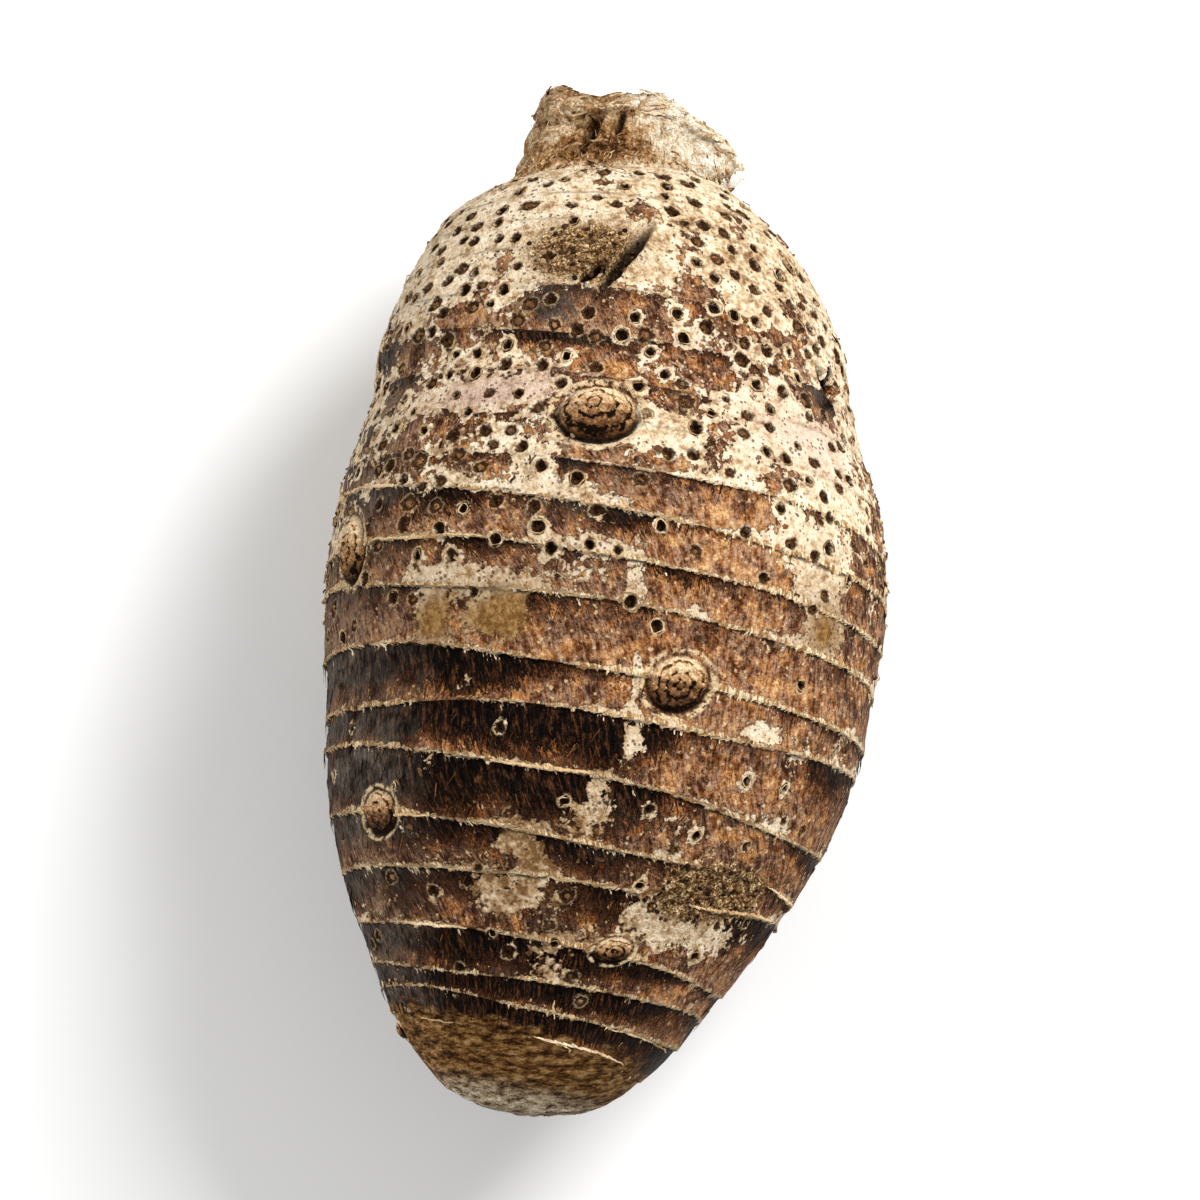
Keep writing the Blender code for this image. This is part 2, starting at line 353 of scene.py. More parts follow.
@dataclass(frozen=True)
class RootScars:
    """Where roots broke off: pits set thickly on the crown half, placed by a seeded rule."""

    form: CormForm
    seed: int = 11
    first_count: int = 104
    first_gap: float = 6.5
    first_thick: tuple[float, float, float] = (105.0, 185.0, 0.08)
    count: int = 700
    gap: float = 3.9
    thick: tuple[float, float, float] = (118.0, 168.0, 0.05)
    radius: tuple[float, float] = (1.45, 2.0)
    pit_share: tuple[float, float] = (0.58, 0.88)
    along_range: tuple[float, float] = (40.0, 229.0)
    belly_middle: float = 137.0
    belly_length: float = 26.0
    belly_angle: float = 28.0
    small_below: tuple[float, float] = (135.0, 110.0)
    shrink: float = 0.22

    def _add(self, marks: Array, found: Array, start: int, count: int, gap: float,
             thick: tuple[float, float, float], rng: np.random.Generator) -> None:
        """Adds scars by trial until there are enough.

        Args:
            marks: rows of x, y, z and reach that scars keep off.
            found: rows of x, y, z, along, around and radius, filled from start.
            start: number of scars that are there.
            count: number wanted.
            gap: least distance between two scars.
            thick: places along the skin between which they grow dense, and their density before it.
            rng: the generator.
        """
        while start < count:
            along = rng.uniform(*self.along_range)
            around = rng.uniform(-180.0, 180.0)
            radius = rng.uniform(*self.radius)
            chance = thick[2] + (1 - thick[2]) * smooth_step(thick[0], thick[1], along)
            under = abs(abs(around) - 180.0) < self.belly_angle
            if rng.uniform() > chance or (under and abs(along - self.belly_middle) < self.belly_length):
                continue
            point = self.form.smooth(np.float64(along), np.radians(around))
            clear = (np.linalg.norm(marks[:, :3] - point, axis=1) > marks[:, 3] + gap * 0.5).all()
            if clear and (np.linalg.norm(found[:start, :3] - point, axis=1) > gap).all():
                found[start] = (*point, along, math.radians(around), radius)
                start += 1

    @cached_property
    def places(self) -> Array:
        """Where the scars are.

        Returns:
            Rows of along, around in radians, radius and a random number from 0 to 1.
        """
        form = self.form
        rng = np.random.default_rng(self.seed)
        taken = np.array([
            (*form.smooth(np.float64(m.along), np.radians(m.around)), max(m.half_length, m.half_width))
            for m in (*form.buds, *form.hollows)
        ])
        found = np.zeros((self.count, 6))
        self._add(taken, found, 0, self.first_count, self.first_gap, self.first_thick, rng)
        self._add(taken, found, self.first_count, self.count, self.gap, self.thick, rng)
        luck = np.random.default_rng(self.seed + 1).uniform(size=(self.count, 2))
        share = self.pit_share[0] + (self.pit_share[1] - self.pit_share[0]) * luck[:, 1]
        share = share * (1.0 - self.shrink * smooth_step(*self.small_below, found[:, 3]))
        return np.stack([found[:, 3], found[:, 4], found[:, 5] * share, luck[:, 0]], axis=-1)


@dataclass
class SkinFields:
    """What the skin is like at many places at once: its relief, its layers and its stains."""

    form: CormForm
    scars: RootScars
    along: Array
    around: Array

    band_reach: tuple[float, ...] = (
        0.0, 0.9, 0.95, 0.75, 0.36, 0.55, 0.8, 0.88, 0.82, 0.12, 0.15, 0.28, 0.18, 0.05,
        0.0, -0.05, -0.05, -0.1, -0.1, -0.1, -0.1, -0.1, -0.1, -0.1, -0.1, -0.1, -0.1, -0.1,
    )
    cover_patches: tuple[Patch, ...] = patches(
        (184, -9, 8, 17, 1.5), (184, -54, 7, 17, 0.9), (162, -40, 4, 9, 0.9),
        (172, 18, 8, 13, 0.9), (184, 36, 2.5, 8, 0.9), (147, 8, 5, 9, 0.9),
        (142, -34, 5, 23, 1.1), (156, -50, 3, 14, 0.8), (132, 20, 7, 16, 0.5),
        (145, 30, 5, 11, 0.8), (128, 58, 12, 7, 0.8), (129, -61, 10, 22, 1.0),
        (173, 51, 9, 8, 1.1), (157, 61, 7, 8, 0.7), (115, -3, 5, 14, 0.9),
        (115, 7, 8, 8, 0.5), (169, -25, 3, 16, -1.8), (129, -25, 4, 17, -1.4),
        (121, -36, 5, 6, -1.5), (120, -20, 5, 7, -1.9), (151, 5, 4, 11, 0.9),
        (131, -6, 10, 7, -0.9), (125, 5.5, 10, 1.8, -1.5), (108, 7.5, 11, 1.5, -1.9),
        (200, 20, 5, 6, 0.9), (190, 20, 6, 8, 0.9), (189, -33, 3, 8, 0.8),
        (214, 10, 5, 4, 0.9), (207, 22, 3, 4, 0.8), (161, 47, 8, 16, -1.3),
        (133, 40, 11, 10, -1.1), (120, 49, 6, 6, -1.7), (99, 40, 2.5, 7, -1.6),
        (96, 50, 3.5, 6, -1.3), (96, 63, 4, 5, -1.3), (117, 33, 3, 2, -1.2),
        (75, -17, 2.5, 5, -0.8), (69, -8, 4, 5, -0.5), (63, -12, 2.5, 8, -0.9),
        (61, 23, 3, 7, -0.5), (58, 34, 2.5, 5, -0.6), (84, 2, 8, 4, -1.2),
        (70, -12, 5, 12, -0.8), (66, -30, 6, 14, -0.5), (97, 8.6, 5, 2.4, -1.6),
        (56, 43, 4, 14, -1.0), (77, -13, 3, 4, -1.4), (92, 75, 5, 12, -0.9),
        (150, 54, 17, 17, -0.7), (124, 52, 9, 10, -0.5), (144, -10, 4, 9, -0.5),
    )
    pink_patches: tuple[Patch, ...] = patches(
        (169, -25, 4, 18, 1.0), (161, 47, 9, 17, 0.8), (176, 20, 7, 12, 0.5),
        (150, 165, 8, 16, 0.7),
    )
    dark_patches: tuple[Patch, ...] = patches(
        (185, -14, 6, 9, 0.8), (181, 0, 4, 10, 0.55), (184, -74, 9, 13, 1.0),
        (170, -66, 12, 10, 0.6), (175, 60, 9, 7, 0.9), (64, 34, 6, 9, 0.5),
        (42, 60, 9, 18, -0.9), (92, 24, 14, 13, -0.3), (182, 140, 12, 20, 0.6),
    )
    grey_patches: tuple[Patch, ...] = patches(
        (186, -13, 6, 13, 0.8), (182, 2, 4, 10, 0.4), (172, 56, 9, 8, 0.6),
        (146, 2, 5, 9, 0.4),
    )
    pale_patches: tuple[Patch, ...] = patches(
        (246, 62, 22, 20, 0.5), (240, 38, 7, 12, 0.6), (250, 14, 3, 7, 0.7),
        (250, -50, 12, 12, 0.1), (241, -18, 5, 9, -0.7), (256, 12, 5, 16, -0.4),
        (262, -30, 5, 10, -0.3), (238, 8, 3, 12, -0.4), (133, 26, 15, 22, 1.1),
        (108, 38, 14, 20, 0.5), (84, 34, 14, 18, 0.4), (205, 45, 20, 24, -0.6),
        (205, -35, 18, 22, 0.3), (184, -9, 8, 17, 0.9), (150, -20, 14, 26, 0.4),
        (72, -38, 18, 26, -0.9), (70, 0, 14, 18, -1.0), (46, -8, 13, 34, -1.1),
        (88, -8, 12, 14, -0.7), (169, -25, 5, 18, -0.7), (40, 42, 9, 16, 1.0),
    )
    ochre_patches: tuple[Patch, ...] = patches(
        (121, -36, 6, 7, 0.9), (120, -20, 6, 8, 1.0), (120, 49, 7, 7, 0.8),
        (201, -8, 7, 11, 0.8), (128, -15, 16, 36, 0.4), (124, 46, 12, 14, 0.3),
        (84, -5, 26, 26, 0.35), (110, -150, 7, 9, 0.9), (134, 120, 6, 9, 0.8),
    )
    rough_patches: tuple[Patch, ...] = patches(
        (201, -7, 8, 12, 1.0), (66, 35, 7, 11, 1.0), (66, 52, 5, 6, 0.9),
        (204, 148, 7, 10, 0.9), (88, -170, 6, 9, 0.7),
    )

    cover_curve: Rows = (
        (0.0, 0.5), (20.0, 0.6), (36.0, 1.1), (60.0, 0.6), (75.0, 0.85), (118.0, 1.0), (132.0, 0.4),
        (150.0, 0.0), (175.0, -0.15), (195.0, -0.6), (215.0, -0.9), (230.0, -0.7), (272.0, -0.5),
    )
    slits: tuple[Hollow, ...] = (
        Hollow(195.3, -4.2, 1.7, 3.7, 3.4, turn=40.0),
        Hollow(176.3, 59.5, 5.4, 2.3, 3.6, turn=24.0),
        Hollow(242.6, -20.0, 2.3, 6.4, 4.4, turn=65.0, darkness=0.56),
        Hollow(243.8, -3.0, 1.0, 3.4, 2.0, turn=80.0, darkness=0.56),
        Hollow(249.0, 34.0, 1.0, 1.1, 1.4, turn=10.0, darkness=0.56),
    )
    base_bands: int = 5
    short_band: int = 8
    scar_far: float = 6.0
    bud_far: float = 2.1
    big_dome: float = 0.88
    high_dome: float = 0.62
    low_dome: float = 0.5
    high_bud: float = 3.0
    ring_reach: float = 9.0
    film_height: float = 0.22
    inset: float = 0.2

    def __post_init__(self) -> None:
        """Works out what the other fields share."""
        self.points = self.form.smooth(self.along, self.around)
        self.half_width = np.maximum(self.form.half_width(self.along), 1.0)
        lines = self.form.ring_lines(self.around)
        below = (lines <= self.along[None]).sum(axis=0) - 1
        self.band = np.clip(below, 0, len(lines) - 2)
        low = np.take_along_axis(lines, self.band[None], axis=0)[0]
        high = np.take_along_axis(lines, self.band[None] + 1, axis=0)[0]
        self.gap = np.maximum(high - low, 1.0)
        self.ring = self.band + np.clip((self.along - low) / self.gap, 0.0, 1.0)
        self.above_ring = self.along - low
        self.below_ring = high - self.along
        self.neck = smooth_step(self.form.neck_start - 1.0, self.form.neck_start + 5.0, self.along)
        self.heel = 1.0 - smooth_step(12.0, 22.0, self.along + 6.0 * np.sin(self.around))

    def noise(self, size: float, seed: int, layers: int = 3, where: Array | None = None) -> Array:
        """Layered noise over the smooth skin, or over a part of it and 0 elsewhere.

        Args:
            size: spacing of its largest lattice.
            seed: picks the pattern.
            layers: number of sizes.
            where: the places to work out, or None for all.

        Returns:
            One value for each place.
        """
        if where is None:
            return layered_noise(self.points, size, seed, layers)
        noise = np.zeros_like(self.along)
        noise[where] = layered_noise(self.points[where], size, seed, layers)
        return noise

    def _band_noise(self, step: float, size: float, seed: int) -> Array:
        """Noise that starts anew in each band between two rings."""
        banded = np.stack([self.points[..., 0], step * self.band, self.points[..., 2]], axis=-1)
        return layered_noise(banded, size, seed, 2)

    def _away(self, mark: Mark) -> tuple[Array, Array, Array]:
        """Distances from the middle of a mark, as shares of its half sizes.

        Args:
            mark: the mark.

        Returns:
            The distance, and its parts across and crownward.
        """
        across = self.half_width * turned(self.around - math.radians(mark.around))
        up = self.along - mark.along
        turn = math.radians(mark.turn) if isinstance(mark, Hollow) else 0.0
        c, s = math.cos(turn), math.sin(turn)
        across, up = (across * c + up * s) / mark.half_width, (up * c - across * s) / mark.half_length
        return np.hypot(across, up), across, up

    def _patches(self, patches: tuple[Patch, ...]) -> Array:
        """Sum of soft ovals.

        Args:
            patches: the ovals.

        Returns:
            Their sum at each place.
        """
        total = np.zeros_like(self.along)
        for patch in patches:
            _, across, up = self._away(patch)
            total += patch.strength * np.exp(-(across**2 + up**2))
        return total

    @cached_property
    def _nearest_scar(self) -> tuple[Array, Array]:
        """The nearest root scar to each place.

        Returns:
            Distance outside its rim, and its random number.
        """
        nearest = np.full_like(self.along, self.scar_far)
        luck = np.zeros_like(self.along)
        wobble = 1.0 + 0.16 * self.noise(2.1, 37, 2)
        order = np.argsort(self.along)
        sorted_along = self.along[order]
        for along, around, radius, chance in self.scars.places:
            first, last = np.searchsorted(sorted_along, [along - radius - 4.0, along + radius + 4.0])
            near = order[first:last]
            across = self.half_width[near] * turned(self.around[near] - around) * (0.8 + 0.35 * chance)
            away = np.hypot(across, self.along[near] - along) * wobble[near] - radius
            closer = away < nearest[near]
            nearest[near[closer]] = away[closer]
            luck[near[closer]] = chance
        return nearest, luck

    @property
    def scar(self) -> Array:
        """Distance outside the rim of the nearest root scar; negative in its pit."""
        return self._nearest_scar[0]

    @property
    def scar_luck(self) -> Array:
        """Random number of the nearest root scar."""
        return self._nearest_scar[1]

    @cached_property
    def bud_place(self) -> Array:
        """Where each place is on the nearest bud.

        Returns:
            Rows of the shares of its half sizes across and along, and 1 for a low bud or 0 for a high one.
        """
        place = np.full((len(self.along), 3), self.bud_far)
        for bud in self.form.buds:
            away, across, up = self._away(bud)
            here = np.stack([across, up, np.full_like(up, bud.height < self.high_bud)], axis=-1)
            closer = away < np.hypot(place[:, 0], place[:, 1])
            place[closer] = here[closer]
        return place

    @cached_property
    def bud(self) -> Array:
        """0 in the middle of a bud, 1 on its rim and up to 3 away from it."""
        return np.hypot(self.bud_place[:, 0], self.bud_place[:, 1])

    @cached_property
    def pit(self) -> Array:
        """How strongly painted shade darkens a place: 1 deep in a hollow, a slit or the gap under a bud, 0 on
        the open skin.

        Returns:
            One value for each place.
        """
        depth = np.zeros_like(self.along)
        for hollow in (*self.form.hollows, *self.slits):
            away = self._away(hollow)[0]
            depth = np.maximum(depth, hollow.darkness * (1.0 - smooth_step(0.7, 1.15, away)))
        for bud in self.form.buds:
            away, _, up = self._away(bud)
            foot = hump(away, 1.1, 0.13) * smooth_step(0.25, -0.5, up)
            depth = np.maximum(depth, (0.65 if bud.height > self.high_bud else 0.45) * foot)
        return depth

    @cached_property
    def ring_width(self) -> Array:
        """Width of the pale line on each ring, wider beside a bud and faint on the crown half.

        Returns:
            The width for each place.
        """
        width = 0.62 + 0.4 * self.noise(11.0, 31, 2) + 0.4 * self.noise(3.4, 32, 1)
        top_buds = self.form.buds[1:5]
        wider = (Patch(bud.along, bud.around, 6.5, 2.1 * bud.half_width, 2.0) for bud in top_buds)
        width = width + self._patches(tuple(wider))
        return np.clip(width * (1.0 - 0.7 * smooth_step(134.0, 158.0, self.along)), 0.05, 3.4)

    @cached_property
    def cover(self) -> Array:
        """Above 0 where the brown skin is still on, below 0 where the pale cortex is bare.

        Returns:
            One value for each place.
        """
        level = np.interp(self.along, *np.array(self.cover_curve).T)
        torn = 0.5 * self._band_noise(9.0, 9.0, 41) + 0.6 * self.noise(7.0, 43)
        border = np.clip(0.5 + 1.5 * self.noise(13.0, 45, 2), 0.1, 1.5)
        near_rings = 0.3 * np.exp(-self.below_ring / 2.5) - border * np.exp(-self.above_ring / 1.8)
        near_rings *= 1.0 - 0.8 * smooth_step(145.0, 165.0, self.along)
        return level + torn + near_rings + self._patches(self.cover_patches)

    @cached_property
    def reach(self) -> Array:
        """How far down its band the dark skin hangs, as a share of the band.

        Returns:
            The share for each place.
        """
        share = np.array(self.band_reach)[self.band]
        degrees = np.degrees(turned(self.around))
        # Above the base the dark skin fades past a place on the top and comes back on the sides
        base = self.band < self.base_bands
        start = np.where(self.band == self.short_band, -26.0, 4.0)
        fade = np.clip((degrees - start) / 34.0, 0.0, 1.0)
        side = 1.0 - 1.05 * fade + 0.45 * smooth_step(42.0, 62.0, degrees)
        side += 0.6 * smooth_step(80.0, 120.0, np.abs(degrees))
        side = np.where(base, 1.0, np.clip(side, 0.0, 1.0))
        ragged = 0.22 * self._band_noise(14.0, 7.0, 51) - 0.12 * np.where(base, 0.0, fade)
        return share * side + ragged + self._patches(self.dark_patches)

    @cached_property
    def grey(self) -> Array:
        """Where the brown is dulled to grey: a painted sheen, mostly on the -X flank, and a thin grey film in
        patches.

        Returns:
            One mask value for each place.
        """
        degrees = np.degrees(turned(self.around))
        flank = smooth_step(-28.0, -60.0, degrees) + 0.45 * smooth_step(60.0, 82.0, degrees)
        cloudy = flank + 0.3 * self.noise(14.0, 61, 2) - 0.1
        return np.clip(cloudy + self._patches(self.grey_patches), 0.0, 1.0)

    @cached_property
    def stub_relief(self) -> Array:
        """Torn, lumpy relief of the neck stub.

        Returns:
            The height at each place.
        """
        stub = self.neck > 0.0
        height = np.zeros_like(self.along)
        points = self.points[stub]
        bent = points + 3.0 * layered_noise(points, 11.0, 70, 2)[:, None]
        fibre = bent * np.array([0.7, 1.0, 0.7])
        lumps = 1.1 * layered_noise(points, 12.0, 71, 2) + 0.28 * layered_noise(fibre, 2.6, 75, 3)
        folds = -2.4 * hump(layered_noise(fibre, 12.0, 79, 1), 0.0, 0.1)
        folds -= 0.9 * hump(layered_noise(bent, 5.5, 83, 1), 0.0, 0.09)
        foot = -1.3 * hump(self.along[stub], 236.0, 2.2) * (0.7 + 0.5 * layered_noise(points, 6.0, 87, 1))
        height[stub] = self.neck[stub] * (lumps + folds - 0.9) + foot
        return height

    @cached_property
    def ground(self) -> Array:
        """Height of the relief without the root scars.

        Returns:
            The height at each place.
        """
        height = np.zeros_like(self.along)
        lines = self.form.ring_lines(self.around)
        uneven = 0.75 + 0.55 * self.noise(5.0, 21, 2)
        for number, (_, _, ridge) in enumerate(self.form.rings, start=1):
            # Each ring is a ledge with a sharp lower edge and a step down under it
            off = self.along - lines[number]
            near = np.abs(off) < self.ring_reach
            off = off[near]
            on_body = number <= self.form.neck_ring
            ledge = np.where(off > 0.0, np.exp(-off / 1.7), np.exp(off / 0.22))
            step = -0.45 * np.exp(np.minimum(off, 0.0) / 3.5) * smooth_step(0.0, -0.6, off)
            faded = 1.0 - 0.7 * smooth_step(134.0, 160.0, self.along[near]) * on_body
            kept = (1.0 if on_body else 0.5) * uneven[near]
            height[near] += ridge * faded * (0.52 * kept * ledge + step)
        on = smooth_step(-0.06, 0.10, self.cover) * (1.0 - self.neck)
        height += self.film_height * on + 0.16 * self.noise(6.0, 23) + 0.08 * self.noise(1.6, 25, 1)
        for bud in self.form.buds:
            height += self._bud_relief(bud)
        for hollow in (*self.form.hollows, *self.slits):
            away = self._away(hollow)[0]
            near = away < 2.0
            away = away * (1.0 + 0.14 * self.noise(2.5, 27, 2, near))
            height -= hollow.depth * np.sqrt(np.clip(1.0 - away**2, 0.0, 1.0))
            height += 0.5 * hump(away, 1.22, 0.16)
        height += self.rough * (0.8 * self.noise(2.4, 29, 2, self.rough > 0.02) - 0.5)
        bark = self.heel * 0.35 * self.noise(2.2, 33, 2, self.heel > 0.0)
        return height + bark + self.stub_relief

    @cached_property
    def rough(self) -> Array:
        """Where the skin is eroded and crumbly."""
        return np.clip(self._patches(self.rough_patches), 0.0, 1.0)

    def _bud_relief(self, bud: Bud) -> Array:
        """A dome with uneven scale edges, a moat at its foot and a deeper gap on the base side.

        Args:
            bud: the bud.

        Returns:
            The height that it adds at each place.
        """
        away, _, up = self._away(bud)
        near = away < 1.6
        high = bud.height > self.high_bud
        bend = 2.6 * self.noise(3.6, 35, 2, near)
        share = self.big_dome if bud is self.form.buds[0] else self.high_dome if high else self.low_dome
        dome = share * bud.height * np.sqrt(np.clip(1.0 - away**2, 0.0, 1.0))
        dome -= 0.5 * np.clip(self.noise(4.2, 39, 2, near), 0.0, 1.0) * smooth_step(1.0, 0.7, away) * high
        scales = 0.26 * np.sin(10.0 * away + 2.4 * bend) * smooth_step(1.0, 0.8, away)
        moat = -(0.1 + 0.6 * np.clip(0.2 - up, 0.0, 1.0)) * hump(away, 1.12, 0.12)
        lip = 0.35 * hump(away, 1.38, 0.14)
        return dome + scales + (moat + lip) * min(1.0, bud.height / 2.5)

    @cached_property
    def height(self) -> Array:
        """Height of the whole relief.

        Returns:
            The height at each place.
        """
        deep = smooth_step(0.3, 0.42, self.scar_luck)
        inside = -self.scar
        pits = -(0.35 + 1.15 * deep) * smooth_step(0.0, 0.7, inside)
        stubs = 0.55 * (1.0 - deep) * smooth_step(0.75, 1.15, inside)
        rims = 0.26 * hump(self.scar, 0.3, 0.34)
        return self.ground + (pits + stubs + rims) * (1.0 - 0.5 * self.neck)

    def surface(self) -> Array:
        """Points of the finished skin, kept inside the solid's box and flat on the floor."""
        outward, _ = self.form.directions(self.along, self.around)
        return np.clip(self.points + outward * (self.height[..., None] - self.inset), BOX_LOW, BOX_HIGH)

    def grain(self) -> Array:
        """Coordinates in which the skin's fibres run along the third axis, with slants that drift.

        Returns:
            One row for each place.
        """
        slant = 0.35 + 0.5 * layered_noise(self.points, 30.0, 81, 1)
        lean = slant * (self.above_ring - 0.5 * self.gap) / self.half_width
        turn = self.around + lean
        return np.stack([58.0 * np.cos(turn), 58.0 * np.sin(turn), 0.28 * self.along], axis=-1)

    def attributes(self) -> dict[str, Array]:
        """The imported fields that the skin's material reads, three to a vector.

        Returns:
            The fields by name.
        """
        pink = np.clip(self._patches(self.pink_patches), 0.0, 1.0)
        ochre = np.clip(self._patches(self.ochre_patches), 0.0, 1.0)
        return {
            "bands": np.stack([self.ring, self.gap, self.ring_width], axis=-1),
            "layers": np.stack([self.cover, self.reach, self.grey], axis=-1),
            "marks": np.stack([self.scar, self.scar_luck, self.bud], axis=-1),
            "stains": np.stack([pink, ochre, self.rough], axis=-1),
            "zones": np.stack([self.neck, self.heel, self.pit], axis=-1),
            "bud_place": self.bud_place,
            "pallor": self._patches(self.pale_patches) + 0.25 * self.noise(9.0, 91, 2),
            "grain": self.grain(),
        }


def paint(red: int, green: int, blue: int) -> Colour:
    """A display colour, 0 to 255, as the linear colour that a shader takes."""
    linear = [((c / 255 + 0.055) / 1.055) ** 2.4 if c > 10 else c / 255 / 12.92 for c in (red, green, blue)]
    return (linear[0], linear[1], linear[2], 1.0)


def tones(*colours: tuple[int, int, int]) -> tuple[Colour, ...]:
    """Several display colours as linear colours."""
    return tuple(paint(*colour) for colour in colours)


def stops(*steps: tuple[float, int, int, int]) -> Stops:
    """A ramp: places along a value, each with its display colour."""
    return tuple((place, paint(*colour)) for place, *colour in steps)


@dataclass(frozen=True)
class Wire:
    """A value in a node tree. Arithmetic on it adds the Math nodes that work it out."""

    make: "NodeMaker"
    socket: Socket

    def __add__(self, other: "Input") -> "Wire":
        """A sum."""
        return self.make.math("ADD", self, other)

    def __sub__(self, other: "Input") -> "Wire":
        """This value less another."""
        return self.make.math("SUBTRACT", self, other)

    def __rsub__(self, other: "Input") -> "Wire":
        """A number less this value."""
        return self.make.math("SUBTRACT", other, self)

    def __mul__(self, other: "Input") -> "Wire":
        """A product."""
        return self.make.math("MULTIPLY", self, other)

    __radd__ = __add__
    __rmul__ = __mul__


Input = Wire | float | tuple | str | Material


class NodeMaker:
    """Adds nodes to one tree and links them; an input is a wire or a plain value."""

    def __init__(self, tree: NodeTree) -> None:
        """Keeps the tree that the nodes go in."""
        self.tree = tree

    def put(self, target: Socket, value: Input) -> None:
        """Links a wire to an input, or sets the input's value.

        Args:
            target: the input.
            value: the wire or the plain value.
        """
        if isinstance(value, Wire):
            self.tree.links.new(value.socket, target)
        else:
            target.default_value = value

    def add(self, kind: str, inputs: dict[str | int, Input] | None = None,
            **settings: object) -> Node:
        """Adds a node.

        Args:
            kind: the node's type.
            inputs: its inputs by name or number.
            settings: its options.

        Returns:
            The node.
        """
        node = self.tree.nodes.new(kind)
        for name, value in settings.items():
            setattr(node, name, value)
        for key, value in (inputs or {}).items():
            self.put(node.inputs[key], value)
        return node

    def wire(self, kind: str, inputs: dict[str | int, Input] | None = None, output: str | int = 0,
             **settings: object) -> Wire:
        """Adds a node and gives one of its outputs."""
        return Wire(self, self.add(kind, inputs, **settings).outputs[output])

    def wires(self, node: Node) -> dict[str, Wire]:
        """Every output of a node by name."""
        return {socket.name: Wire(self, socket) for socket in node.outputs}

    def math(self, operation: str, a: Input, b: Input = 0.0, clamp: bool = False) -> Wire:
        """One arithmetic step."""
        return self.wire("ShaderNodeMath", {0: a, 1: b}, operation=operation, use_clamp=clamp)

    def inverse(self, value: Input) -> Wire:
        """1 minus a mask."""
        return self.math("SUBTRACT", 1.0, value, clamp=True)

    def span(self, value: Input, low: Input, high: Input, to_low: float = 0.0, to_high: float = 1.0) -> Wire:
        """Maps a range softly onto another."""
        inputs = {"Value": value, "From Min": low, "From Max": high, "To Min": to_low, "To Max": to_high}
        return self.wire("ShaderNodeMapRange", inputs, interpolation_type="SMOOTHSTEP")

    def mix(self, share: Input, under: Input, over: Input, blend: Blend = Blend.MIX) -> Wire:
        """Puts one colour over another.

        Args:
            share: how much of it is put over, from 0 to 1.
            under: the colour below.
            over: the colour put over it.
            blend: how the two are put together.

        Returns:
            The mixed colour.
        """
        inputs = {0: share, 6: under, 7: over}
        return self.wire("ShaderNodeMix", inputs, 2, data_type="RGBA", blend_type=blend.value,
                         clamp_factor=True)

    def ramp(self, value: Input, steps: Stops) -> Wire:
        """Colours along a value.

        Args:
            value: the value.
            steps: rising places along it, each with a colour.

        Returns:
            The colour.
        """
        node = self.add("ShaderNodeValToRGB", {0: value})
        elements = node.color_ramp.elements
        elements[0].position, elements[0].color = steps[0]
        elements[1].position, elements[1].color = steps[-1]
        for position, colour in steps[1:-1]:
            elements.new(position).color = colour
        return Wire(self, node.outputs[0])

    def noise(self, at: Wire, scale: Input, detail: float = 2.0, roughness: float = 0.5,
              bend: float = 0.0) -> Wire:
        """Noise from 0 to 1."""
        inputs = {"Vector": at, "Scale": scale, "Detail": detail, "Roughness": roughness, "Distortion": bend}
        return self.wire("ShaderNodeTexNoise", inputs)

    def scaled(self, at: Input, factors: Input) -> Wire:
        """A place or colour scaled along each axis."""
        return self.wire("ShaderNodeVectorMath", {0: at, 1: factors}, operation="MULTIPLY")

    def group(self, effect: NodeTree, **inputs: Input) -> dict[str, Wire]:
        """Places a shared effect and gives its outputs by name."""
        return self.wires(self.add("ShaderNodeGroup", inputs, node_tree=effect))

    def attribute(self, name: str, part: str = "Vector") -> Wire:
        """What is stored on the mesh under a name."""
        return self.wire("ShaderNodeAttribute", output=part, attribute_name=name)

    def fields(self, name: str) -> list[Wire]:
        """The three numbers of a packed attribute."""
        return list(self.wires(self.add("ShaderNodeSeparateXYZ", {0: self.attribute(name)})).values())

    def place_in_mm(self) -> Wire:
        """The surface's own coordinates, in millimetres."""
        return self.scaled(self.wire("ShaderNodeTexCoord", output="Object"), (1 / MM, 1 / MM, 1 / MM))

    def bump(self, shader: Node, height: Wire, strength: float, distance: float) -> None:
        """Raises a fine relief, in millimetres, on a shader."""
        inputs = {"Height": height, "Strength": strength, "Distance": distance * MM}
        self.put(shader.inputs["Normal"], self.wire("ShaderNodeBump", inputs))


